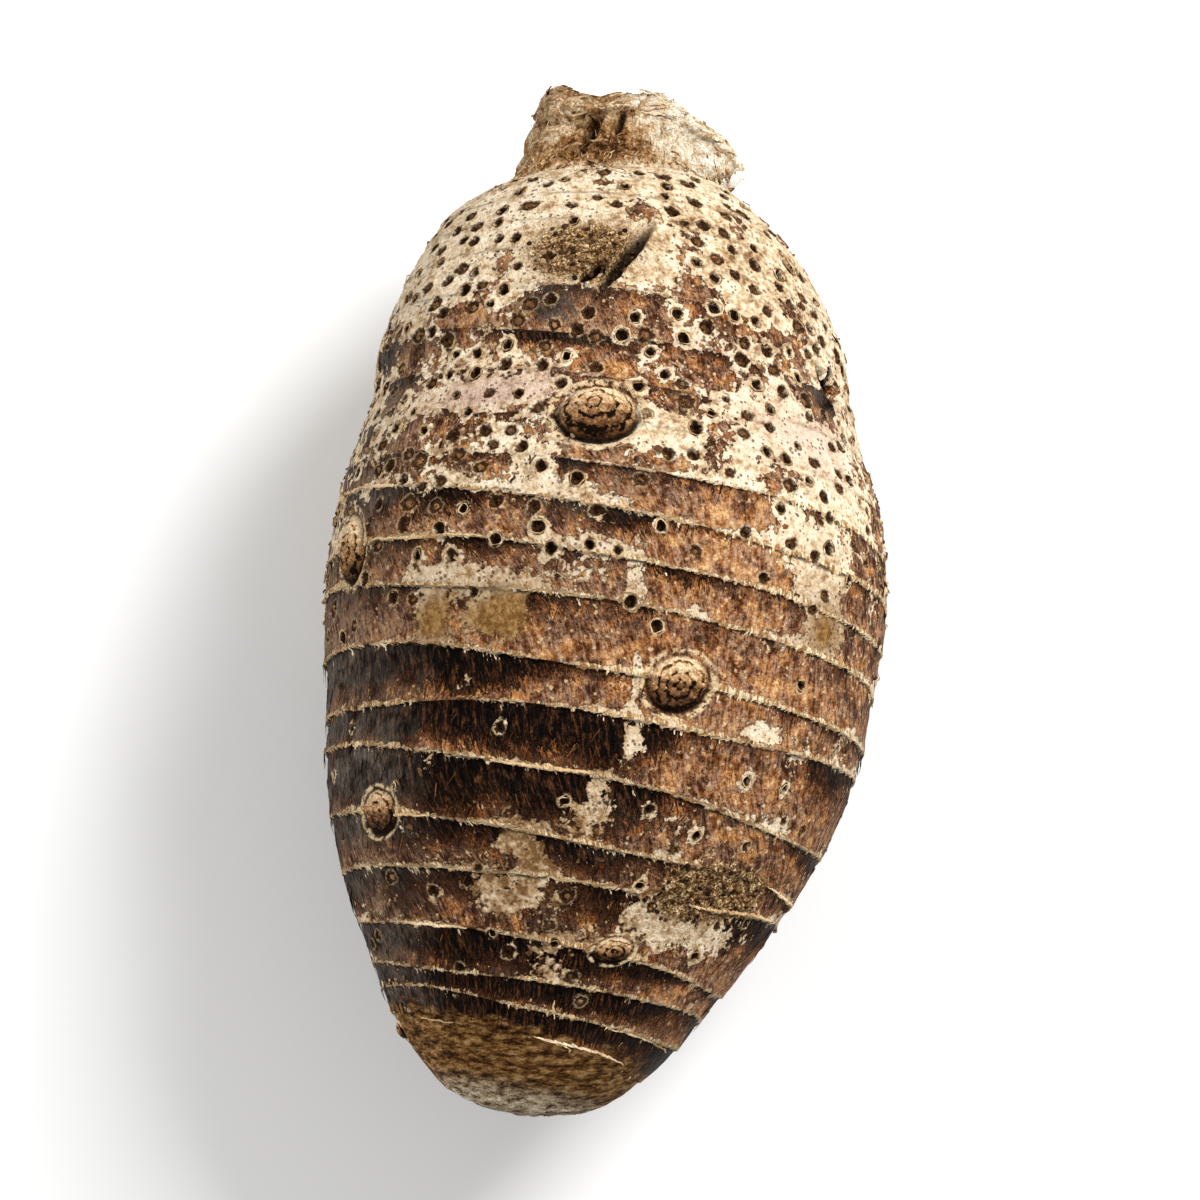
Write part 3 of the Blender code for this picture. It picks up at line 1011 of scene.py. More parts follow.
@dataclass(frozen=True)
class Effects:
    """Effects that several materials share, each a node group built once."""

    @staticmethod
    def _group(name: str, inputs: dict[str, tuple[str, Input | None]], outputs: dict[str, str]) -> tuple:
        """Makes an empty group with named sockets.

        Args:
            name: the group's name.
            inputs: kind and default of each input by name.
            outputs: kind of each output by name.

        Returns:
            The tree, its maker, its inputs as wires and the sockets of its outputs.
        """
        tree = bpy.data.node_groups.new(name, "ShaderNodeTree")
        for label, (kind, default) in inputs.items():
            socket = tree.interface.new_socket(label, in_out="INPUT", socket_type="NodeSocket" + kind)
            if default is not None:
                socket.default_value = default
        for label, kind in outputs.items():
            tree.interface.new_socket(label, in_out="OUTPUT", socket_type="NodeSocket" + kind)
        make = NodeMaker(tree)
        return tree, make, make.wires(make.add("NodeGroupInput")), make.add("NodeGroupOutput").inputs

    @cached_property
    def torn_edge(self) -> NodeTree:
        """Turns a soft field into a layer with a ragged edge.

        Returns:
            The group.
        """
        tree, make, given, out = self._group(
            "torn_edge",
            {"Field": ("Float", 0.0), "Place": ("Vector", None), "Teeth": ("Float", 1.0),
             "Raggedness": ("Float", 0.5)},
            {"Layer": "Float", "Edge": "Float"},
        )
        ragged = make.noise(given["Place"], given["Teeth"], 4.0, 0.62) - 0.5
        level = given["Field"] + ragged * given["Raggedness"] * 2.0
        make.put(out["Layer"], make.span(level, -0.03, 0.03))
        make.put(out["Edge"], make.span(make.math("ABSOLUTE", level), 0.14, 0.0))
        return tree

    @cached_property
    def fibres(self) -> NodeTree:
        """Fine parallel fibres along the third axis of the place.

        Returns:
            The group.
        """
        tree, make, given, out = self._group(
            "fibres",
            {"Place": ("Vector", None), "Fineness": ("Float", 1.0)},
            {"Streaks": "Float", "Threads": "Float"},
        )
        wide = make.noise(given["Place"], given["Fineness"], 3.0, 0.6, 0.4)
        fine = make.noise(given["Place"], given["Fineness"] * 2.6, 2.0, 0.55)
        make.put(out["Streaks"], make.span(wide * 0.6 + fine * 0.4, 0.3, 0.7))
        thread = make.span(make.math("ABSOLUTE", fine - 0.5), 0.035, 0.0)
        make.put(out["Threads"], thread * make.span(wide, 0.48, 0.62))
        return tree

    @cached_property
    def grit(self) -> NodeTree:
        """Light and dark grains over a colour.

        Returns:
            The group.
        """
        tree, make, given, out = self._group(
            "grit",
            {"Colour": ("Color", None), "Grain": ("Float", 0.5), "Strength": ("Float", 0.4)},
            {"Colour": "Color"},
        )
        swing = (given["Grain"] - 0.5) * given["Strength"] * 5.0
        factor = make.math("MAXIMUM", swing + 1.0, 0.12)
        grey = make.wire("ShaderNodeCombineXYZ", {0: factor, 1: factor, 2: factor})
        make.put(out["Colour"], make.scaled(given["Colour"], grey))
        return tree

    @cached_property
    def specks(self) -> NodeTree:
        """Scattered round specks, more of them where a second mask is high.

        Returns:
            The group.
        """
        tree, make, given, out = self._group(
            "specks",
            {"Place": ("Vector", None), "Fineness": ("Float", 1.0), "Share": ("Float", 0.2),
             "Here": ("Float", 0.5)},
            {"Specks": "Float"},
        )
        cells = {"Vector": given["Place"], "Scale": given["Fineness"]}
        away = make.wire("ShaderNodeTexVoronoi", cells, "Distance")
        limit = given["Share"] * make.span(given["Here"], 0.4, 0.62)
        make.put(out["Specks"], make.span(away, limit, limit * 0.6))
        return tree


def new_material(name: str) -> tuple[Material, NodeMaker, Node]:
    """An empty material with its shader.

    Args:
        name: the material's name.

    Returns:
        The material, the maker of its nodes and its Principled shader.
    """
    material = bpy.data.materials.new(name)
    material.use_nodes = True
    shader = material.node_tree.nodes["Principled BSDF"]
    return material, NodeMaker(material.node_tree), shader


@dataclass(frozen=True)
class SkinPattern:
    """What every layer of the skin shares: five noises, then the fields packed on the skin's points."""

    place: Wire
    blotch: Wire
    patchy: Wire
    fine: Wire
    streaks: Wire
    threads: Wire
    ring: Wire
    gap: Wire
    line_width: Wire
    cover: Wire
    reach: Wire
    grey: Wire
    scar: Wire
    luck: Wire
    bud: Wire
    pink: Wire
    ochre: Wire
    rough: Wire
    neck: Wire
    heel: Wire
    pit: Wire
    pallor: Wire

    @classmethod
    def made(cls, make: NodeMaker, effects: Effects) -> "SkinPattern":
        """Adds the shared nodes to a material.

        Args:
            make: adds the nodes.
            effects: the shared effects.

        Returns:
            The pattern.
        """
        place = make.place_in_mm()
        fibres = make.group(effects.fibres, Place=make.attribute("grain"), Fineness=0.95)
        blotch = make.noise(place, 0.22, 3.0, 0.6)
        patchy = make.noise(place, 0.75, 4.0, 0.62)
        fine = make.noise(place, 1.9, 2.0, 0.7)
        packed = ("bands", "layers", "marks", "stains", "zones")
        fields = [wire for name in packed for wire in make.fields(name)]
        pallor = make.attribute("pallor", "Fac")
        return cls(place, blotch, patchy, fine, fibres["Streaks"], fibres["Threads"], *fields, pallor)


@dataclass(frozen=True)
class CormSkinFinish:
    """The corm's skin: pale cortex, a rust-brown film over it and dark fibres over that."""

    effects: Effects
    cortex: Stops = stops(
        (0.38, 118, 86, 56), (0.48, 186, 157, 121), (0.56, 221, 199, 167), (0.68, 240, 223, 197),
    )
    rust: Stops = stops(
        (0.3, 52, 27, 12), (0.42, 106, 62, 30), (0.53, 152, 98, 54), (0.64, 186, 136, 86),
        (0.8, 216, 178, 130),
    )
    dark: Stops = stops((0.4, 5, 3, 2), (0.56, 22, 12, 7), (0.72, 56, 33, 18), (0.88, 118, 72, 38))
    line: Stops = stops((0.4, 150, 112, 70), (0.52, 208, 176, 132), (0.64, 238, 218, 182))
    heel: Stops = stops(
        (0.36, 62, 47, 32), (0.46, 148, 127, 100), (0.54, 186, 168, 140), (0.64, 218, 206, 184),
    )
    olive: Stops = stops((0.38, 40, 24, 11), (0.49, 98, 64, 30), (0.57, 138, 102, 58), (0.68, 172, 140, 96))
    stub: Stops = stops(
        (0.34, 58, 36, 20), (0.46, 140, 98, 58), (0.56, 182, 150, 110), (0.68, 220, 202, 174),
        (0.84, 244, 236, 220),
    )
    crumbs: Stops = stops((0.4, 26, 16, 9), (0.5, 92, 64, 38), (0.58, 164, 128, 84), (0.68, 232, 210, 172))
    scar_middle: Stops = stops(
        (0.38, 26, 15, 8), (0.47, 84, 54, 32), (0.56, 142, 102, 66), (0.68, 196, 160, 114),
    )
    bud_scales: Stops = stops(
        (0.3, 22, 13, 8), (0.44, 112, 76, 47), (0.56, 178, 136, 92), (0.7, 228, 200, 160),
    )
    ochre: tuple[Colour, ...] = tones((112, 78, 40), (158, 122, 74))
    # Colours of the painted grey sheen and of a thin grey film
    sheen_and_film: tuple[Colour, ...] = tones((34, 29, 28), (128, 114, 100))
    taupe: tuple[Colour, ...] = tones((78, 58, 48), (160, 128, 106))
    pink: Colour = paint(198, 170, 158)
    pore: Colour = paint(80, 52, 32)
    fleck: Colour = paint(222, 192, 148)
    stain: Colour = paint(58, 38, 26)
    pale_thread: Colour = paint(206, 166, 118)
    red_thread: Colour = paint(140, 86, 46)
    # Painted shadow along the raised edge of the brown film
    film_edge_shadow: Colour = paint(74, 48, 30)
    # Painted shadow under each ring's ledge
    ring_shade: Colour = paint(40, 25, 16)
    scar_collar: Colour = paint(212, 184, 142)
    scar_outline: Colour = paint(44, 27, 15)
    bud_rim: Colour = paint(216, 188, 146)
    # Painted shadow in the crease at the foot of a bud
    bud_foot_shadow: Colour = paint(34, 21, 13)
    # Colour of the painted shade in hollows, slits, deep root pits and under buds
    hole_shade: Colour = paint(16, 9, 5)

    def build(self) -> Material:
        """Builds the material: rings, layers, marks, then roughness and fine relief.

        Returns:
            The material.
        """
        material, make, shader = new_material("corm_skin")
        look = SkinPattern.made(make, self.effects)
        share = make.math("FRACT", look.ring)
        line, shade = self._ring_line(make, look, share)

        # The brown film and the dark fingers over it
        halo = make.span(look.scar, 2.0, 0.1) * make.span(look.luck, 0.2, 0.9, 0.1, 1.0)
        film_field = look.cover - halo - line * 2.0 - look.neck * 3.0
        torn = {"Field": film_field, "Place": look.place, "Teeth": 0.62, "Raggedness": 1.3}
        film = make.group(self.effects.torn_edge, **torn)
        on_film = film["Layer"]
        hanging = look.reach - make.inverse(share)
        teeth = look.streaks * 0.75 + look.patchy * 0.7 - 0.725
        on_dark = make.span(hanging + teeth, -0.035, 0.035) * on_film

        # The layers, from the cortex up
        colour = self._cortex(make, look)
        colour = make.mix(line, colour, make.ramp(look.streaks * 0.5 + look.patchy * 0.5, self.line))
        colour = make.mix(on_film, colour, self._rust(make, look, share))
        dark = make.ramp(look.streaks * 0.55 + look.patchy * 0.35 + look.fine * 0.15, self.dark)
        colour = make.mix(on_dark, colour, make.mix(look.threads * 0.45, dark, self.red_thread))
        # Painted grey sheen, mostly on the -X flank, and a thin grey film in patches dull the brown
        sheen_and_film_share = look.grey * (on_film + 0.2) * 0.62 * make.span(look.blotch, 0.3, 0.6)
        colour = make.mix(sheen_and_film_share, colour, make.mix(look.streaks, *self.sheen_and_film))
        # Painted shadow along the raised, torn edge of the brown film
        edge = film["Edge"] * make.inverse(look.neck) * 0.55
        colour = make.mix(edge, colour, self.film_edge_shadow, Blend.MULTIPLY)
        # Painted shadow in a thin line under each ring's ledge
        colour = make.mix(shade * 0.85, colour, self.ring_shade, Blend.MULTIPLY)
        colour = self._ends(make, look, colour)

        # Marks on top of every layer
        colour = self._rough(make, look, colour)
        colour = self._scars(make, look, colour)
        colour = self._buds(make, look, colour)
        # Painted shade in the hollows, the slits and the gap under each bud
        colour = make.mix(make.span(look.pit, 0.25, 0.75), colour, self.hole_shade)

        strength = 0.2 + on_film * 0.1 + look.neck * 0.1 + look.heel * 0.2
        grit = make.group(self.effects.grit, Colour=colour, Grain=look.fine, Strength=strength)
        make.put(shader.inputs["Base Color"], grit["Colour"])
        shader.inputs["Specular IOR Level"].default_value = LOW_SPECULAR
        make.put(shader.inputs["Roughness"], 0.68 - on_dark * 0.22 + look.patchy * 0.2)
        height = on_film * 0.2 + line * 0.2 + look.streaks * 0.2
        height += look.patchy * (0.45 + on_film * 0.3 + look.neck * 0.7)
        height += look.fine * (0.28 + on_film * 0.12 + look.rough + look.neck * 0.2)
        height += make.span(look.scar, -0.9, 0.15) * 0.4
        make.bump(shader, height, 1.0, 1.0)
        return material

    def _ring_line(self, make: NodeMaker, look: SkinPattern, share: Wire) -> tuple[Wire, Wire]:
        """The pale line of each ring: its own width above it, and short teeth of fibre below.

        Args:
            make: adds the nodes.
            look: what the skin's layers share.
            share: how far up its band a place is, from 0 to 1.

        Returns:
            Masks of the line and of the shade under it.
        """
        below = make.inverse(share) * look.gap
        above = share * look.gap
        rag = (look.patchy - 0.5) * 3.4
        over_ring = make.span(above + rag, look.line_width, look.line_width * 0.75)
        tooth = make.span(look.streaks, 0.6, 0.95) * make.span(look.blotch, 0.48, 0.62) * 1.8
        under_ring = make.span(below + rag - tooth, 0.4, 0.15)
        present = make.inverse(look.neck) * make.span(look.ring, 1.2, 1.6)
        present *= make.span(look.line_width, 0.1, 0.5)
        line = make.math("MAXIMUM", over_ring, under_ring) * present
        shade = make.span(below, 1.0, 0.3) * make.inverse(line) * present * make.span(look.patchy, 0.3, 0.5)
        return line, shade

    def _cortex(self, make: NodeMaker, look: SkinPattern) -> Wire:
        """Pale cortex with brown stains, pink and ochre areas and dark pores.

        Args:
            make: adds the nodes.
            look: what the skin's layers share.

        Returns:
            The colour.
        """
        level = look.blotch * 0.5 + look.patchy * 0.6 + make.math("MINIMUM", look.pallor, 0.3) * 0.09
        colour = make.ramp(level, self.cortex)
        colour = make.mix(look.pink * make.span(look.patchy, 0.3, 0.6, 0.2, 0.85), colour, self.pink)
        colour = make.mix(look.ochre, colour, make.mix(make.span(look.patchy, 0.4, 0.65), *self.ochre))
        pores = make.group(self.effects.specks, Place=look.place, Fineness=0.8, Share=0.4, Here=look.blotch)
        return make.mix(pores["Specks"] * 0.8, colour, self.pore)

    def _rust(self, make: NodeMaker, look: SkinPattern, share: Wire) -> Wire:
        """Rust-brown film with streaks, light flecks and pale threads, lighter towards the lower ring.

        Args:
            make: adds the nodes.
            look: what the skin's layers share.
            share: how far up its band a place is, from 0 to 1.

        Returns:
            The colour.
        """
        level = look.streaks * 0.25 + look.patchy * 0.59 + look.fine * 0.18 - share * 0.1
        level = level + (look.blotch - 0.5) * 0.8 + look.pallor * 0.1
        colour = make.ramp(level, self.rust)
        dull = make.span(look.blotch, 0.66, 0.48) * make.span(look.streaks, 0.2, 0.7) * 0.8
        colour = make.mix(dull, colour, make.mix(make.span(level, 0.35, 0.65), *self.taupe))
        flecks = make.group(self.effects.specks, Place=look.place, Fineness=0.62, Share=0.4, Here=look.patchy)
        colour = make.mix(flecks["Specks"] * 0.6, colour, self.fleck)
        stains = make.span(look.patchy + look.fine * 0.3, 0.56, 0.5)
        colour = make.mix(stains * 0.35, colour, self.stain)
        return make.mix(look.threads * 0.4, colour, self.pale_thread)

    def _ends(self, make: NodeMaker, look: SkinPattern, colour: Wire) -> Wire:
        """The olive tip and the pale, barky heel of the base, and the torn stub of the crown.

        Args:
            make: adds the nodes.
            look: what the skin's layers share.
            colour: the skin so far.

        Returns:
            The colour.
        """
        bark = make.noise(make.scaled(look.place, (0.36, 1.1, 0.44)), 0.75, 3.0, 0.78)
        tip = look.ring + (look.blotch - 0.5) * 1.6
        colour = make.mix(make.span(tip, 1.5, 1.1), colour, make.ramp(bark, self.olive))
        colour = make.mix(look.heel, colour, make.ramp(bark, self.heel))
        level = look.blotch * 0.5 + look.patchy * 0.6 + look.fine * 0.25 + look.pallor * 0.22 - 0.14
        return make.mix(look.neck, colour, make.ramp(level, self.stub))

    def _rough(self, make: NodeMaker, look: SkinPattern, colour: Wire) -> Wire:
        """Eroded, crumbly areas in sharp dark and ochre grains.

        Args:
            make: adds the nodes.
            look: what the skin's layers share.
            colour: the skin so far.

        Returns:
            The colour.
        """
        crumbly = make.ramp(look.patchy * 0.55 + look.fine * 0.5, self.crumbs)
        ragged = look.rough + (look.patchy - 0.5) * 1.2
        return make.mix(make.span(ragged, 0.35, 0.5), colour, crumbly)

    def _scars(self, make: NodeMaker, look: SkinPattern, colour: Wire) -> Wire:
        """Root scars: an uneven pale collar, a dark ring and a brown middle, with painted shade in the
        middles of the deeper pits.

        Args:
            make: adds the nodes.
            look: what the skin's layers share.
            colour: the skin so far.

        Returns:
            The colour.
        """
        ragged = look.scar + (look.patchy * 1.9 + look.fine * 0.9 - 1.4)
        collar = make.span(ragged, 0.75, 0.4) * make.span(ragged, 0.1, 0.3)
        broken = make.span(look.luck, 0.0, 1.0, 0.3, 0.75) * make.span(look.patchy, 0.38, 0.52)
        colour = make.mix(collar * broken, colour, self.scar_collar)
        inner = make.ramp(look.patchy * 0.4 + look.fine * 0.6, self.scar_middle)
        # Painted shade darkens the middles of the deeper pits
        inner = make.mix(make.span(look.luck, 0.55, 0.7) * 0.7, inner, self.hole_shade)
        colour = make.mix(make.span(ragged, 0.0, -0.2), colour, inner)
        outline = make.span(ragged, 0.32, 0.1) * make.span(ragged, -0.7, -0.4)
        return make.mix(outline * make.span(look.fine, 0.35, 0.6, 0.3, 0.85), colour, self.scar_outline)

    def _buds(self, make: NodeMaker, look: SkinPattern, colour: Wire) -> Wire:
        """Buds: uneven scale edges round the tip, with painted light on the crown side and painted shade on
        the base side.

        Args:
            make: adds the nodes.
            look: what the skin's layers share.
            colour: the skin so far.

        Returns:
            The colour.
        """
        _, up, low = make.fields("bud_place")
        bud = look.bud + (look.patchy - 0.5) * 0.3
        turns = bud * 17.0 + look.blotch * 11.0
        crease = make.span(make.math("SINE", turns), 0.3, 1.0) * make.span(look.patchy, 0.66, 0.46)
        # The up term paints light on the crown side and shade on the base side
        level = crease * -0.26 + look.patchy * 0.5 + look.fine * 0.25 + up * 0.24 - low * 0.08 + 0.2
        colour = make.mix(make.span(bud, 1.14, 1.04), colour, make.ramp(level, self.bud_scales))
        rim = make.span(bud, 1.5, 1.38) * make.span(bud, 1.2, 1.3)
        colour = make.mix(rim * make.span(look.patchy, 0.4, 0.55), colour, self.bud_rim)
        # Painted shadow in the crease at each bud's foot, strongest on the base side
        moat = make.span(bud, 1.24, 1.12) * make.span(bud, 0.98, 1.06) * make.span(up, 0.7, -0.3, 0.25, 1.0)
        return make.mix(moat * make.span(look.patchy, 0.3, 0.55, 0.35, 0.9), colour, self.bud_foot_shadow)


@dataclass
class CormSkin:
    """The corm's closed skin in full relief."""

    form: CormForm
    scars: RootScars
    finish: CormSkinFinish
    row_step: float = 0.48
    columns: int = 760
    most_triangles: int = 188000
    first_row: float = 0.06

    def _grid(self) -> tuple[Array, Array]:
        """Rows that follow the rings.

        Returns:
            Along and around of each crossing of the rows and columns.
        """
        around = np.arange(self.columns) * 2 * math.pi / self.columns - math.pi
        lines = self.form.ring_lines(around)
        rows = []
        for low, high in zip(lines[:-1], lines[1:]):
            count = max(2, round(float(np.mean(high - low)) / self.row_step))
            rows += [low + (high - low) * k / count for k in range(count)]
        rows[0] = self.first_row * (lines[1] - lines[0]) / 4
        along = np.array(rows)
        return along, np.broadcast_to(around, along.shape)

    def _closed_mesh(self, along: Array, around: Array) -> Mesh:
        """Mesh of the fine grid, with each point's two coordinates kept on it.

        Args:
            along: rows and columns of places along the skin.
            around: their angles.

        Returns:
            The mesh.
        """
        rows, columns = along.shape
        along = np.concatenate([[0.0], along.ravel(), [self.form.skin_length]])
        around = np.concatenate([[0.0], around.ravel(), [0.0]])
        points = SkinFields(self.form, self.scars, along, around).surface()
        first = 1 + np.arange(rows)[:, None] * columns + np.arange(columns)
        side = np.roll(first, -1, axis=1)
        quads = np.stack([first[:-1], side[:-1], side[1:], first[1:]], axis=-1).reshape(-1, 4)
        base = np.stack([np.zeros(columns, int), side[0], first[0]], axis=-1)
        top = np.stack([np.full(columns, len(points) - 1), first[-1], side[-1]], axis=-1)
        mesh = bpy.data.meshes.new("corm_fine")
        mesh.from_pydata((points * MM).tolist(), [], [*quads.tolist(), *base.tolist(), *top.tolist()])
        set_attribute(mesh, "skin_place", np.stack([along, np.cos(around), np.sin(around)], axis=-1))
        return mesh

    def build(self) -> Object:
        """Builds the skin, thins it where it is smooth and dresses it.

        Returns:
            The skin's object.
        """
        fine = link("corm_fine", self._closed_mesh(*self._grid()))
        count = len(fine.data.loops) - 2 * len(fine.data.polygons)
        fine.modifiers.new("thin", "DECIMATE").ratio = min(1.0, self.most_triangles / count)
        mesh = evaluated(fine)
        place = get_attribute(mesh, "skin_place")
        fields = SkinFields(self.form, self.scars, place[:, 0], np.arctan2(place[:, 2], place[:, 1]))
        mesh.vertices.foreach_set("co", (fields.surface() * MM).astype(np.float32).ravel())
        for name, values in fields.attributes().items():
            set_attribute(mesh, name, values)
        mesh.attributes.remove(mesh.attributes["skin_place"])
        mesh.shade_smooth()
        mesh.materials.clear()
        mesh.materials.append(self.finish.build())
        mesh.update()
        return link("corm_skin", mesh)


def link(name: str, mesh: Mesh) -> Object:
    """Puts a mesh in the scene.

    Args:
        name: the new object's name.
        mesh: its mesh, which gets the same name.

    Returns:
        The object.
    """
    mesh.name = name
    made = bpy.data.objects.new(name, mesh)
    bpy.context.scene.collection.objects.link(made)
    return made


def evaluated(carrier: Object) -> Mesh:
    """Takes an object's mesh with its modifiers applied, and removes the object.

    Args:
        carrier: the object.

    Returns:
        The mesh.
    """
    graph = bpy.context.evaluated_depsgraph_get()
    mesh = bpy.data.meshes.new_from_object(carrier.evaluated_get(graph))
    bpy.data.objects.remove(carrier)
    return mesh


def set_attribute(mesh: Mesh, name: str, values: Array) -> None:
    """Stores a number or a vector on each point of a mesh.

    Args:
        mesh: the mesh.
        name: the name they are stored under.
        values: one number, or a row of three, for each point.
    """
    vector = values.ndim == 2
    layer = mesh.attributes.new(name, "FLOAT_VECTOR" if vector else "FLOAT", "POINT")
    layer.data.foreach_set("vector" if vector else "value", values.astype(np.float32).ravel())


def get_attribute(mesh: Mesh, name: str) -> Array:
    """Reads a vector stored on each point of a mesh.

    Args:
        mesh: the mesh.
        name: the name it is stored under.

    Returns:
        A row of three for each point.
    """
    values = np.empty(len(mesh.vertices) * 3, np.float32)
    mesh.attributes[name].data.foreach_get("vector", values)
    return values.reshape(-1, 3).astype(float)


class Shape(Enum):
    """Small shapes that are strewn over the skin; each has unit size before it is scaled."""

    CONE = "cone"
    COLLAR = "collar"
    BLADE = "blade"
    LUMP = "lump"


@dataclass(frozen=True)
class CorkFinish:
    """Dry cork or fibre in tones that follow each shape's own shade, from 0 to 1."""

    name: str
    effects: Effects
    tones: tuple[Colour, ...]
    roughness: float = 0.85
    grain: float = 0.4

    def build(self) -> Material:
        """Builds the material.

        Returns:
            The material.
        """
        material, make, shader = new_material(self.name)
        steps = np.linspace(0.0, 1.0, len(self.tones)).tolist()
        colour = make.ramp(make.attribute("shade", "Fac"), tuple(zip(steps, self.tones)))
        grain = make.noise(make.place_in_mm(), 1.6, 2.0, 0.7)
        grit = make.group(self.effects.grit, Colour=colour, Grain=grain, Strength=self.grain)
        make.put(shader.inputs["Base Color"], grit["Colour"])
        shader.inputs["Roughness"].default_value = self.roughness
        shader.inputs["Specular IOR Level"].default_value = LOW_SPECULAR
        make.bump(shader, grain, 0.6, 0.5)
        return material


@dataclass(frozen=True)
class Spots:
    """Places where small shapes stand, with the way each faces and points, its size and its shade."""

    points: Array
    facing: Array
    heading: Array
    size: Array
    shade: Array

    @classmethod
    def on(cls, fields: SkinFields, chosen: Array, turn: Array, size: Array, shade: Array,
           lift: float = 0.0, tilt: float = 0.0) -> "Spots":
        """Puts spots on the skin.

        Args:
            fields: the skin at candidate places.
            chosen: which of the candidates are used.
            turn: angle of each shape's length from crownward, in radians.
            size: half sizes or length, width and height of each, in millimetres.
            shade: each one's place among its finish's tones.
            lift: height above the skin.
            tilt: how far each leans back from its heading, as a slope.

        Returns:
            The spots.
        """
        outward, crownward = fields.form.directions(fields.along[chosen], fields.around[chosen])
        points = fields.surface()[chosen] + outward * lift
        sideward = np.cross(crownward, outward)
        heading = np.cos(turn)[:, None] * crownward + np.sin(turn)[:, None] * sideward
        facing = outward - tilt * heading
        facing /= np.linalg.norm(facing, axis=-1, keepdims=True)
        return cls(points, facing, heading, size, shade)


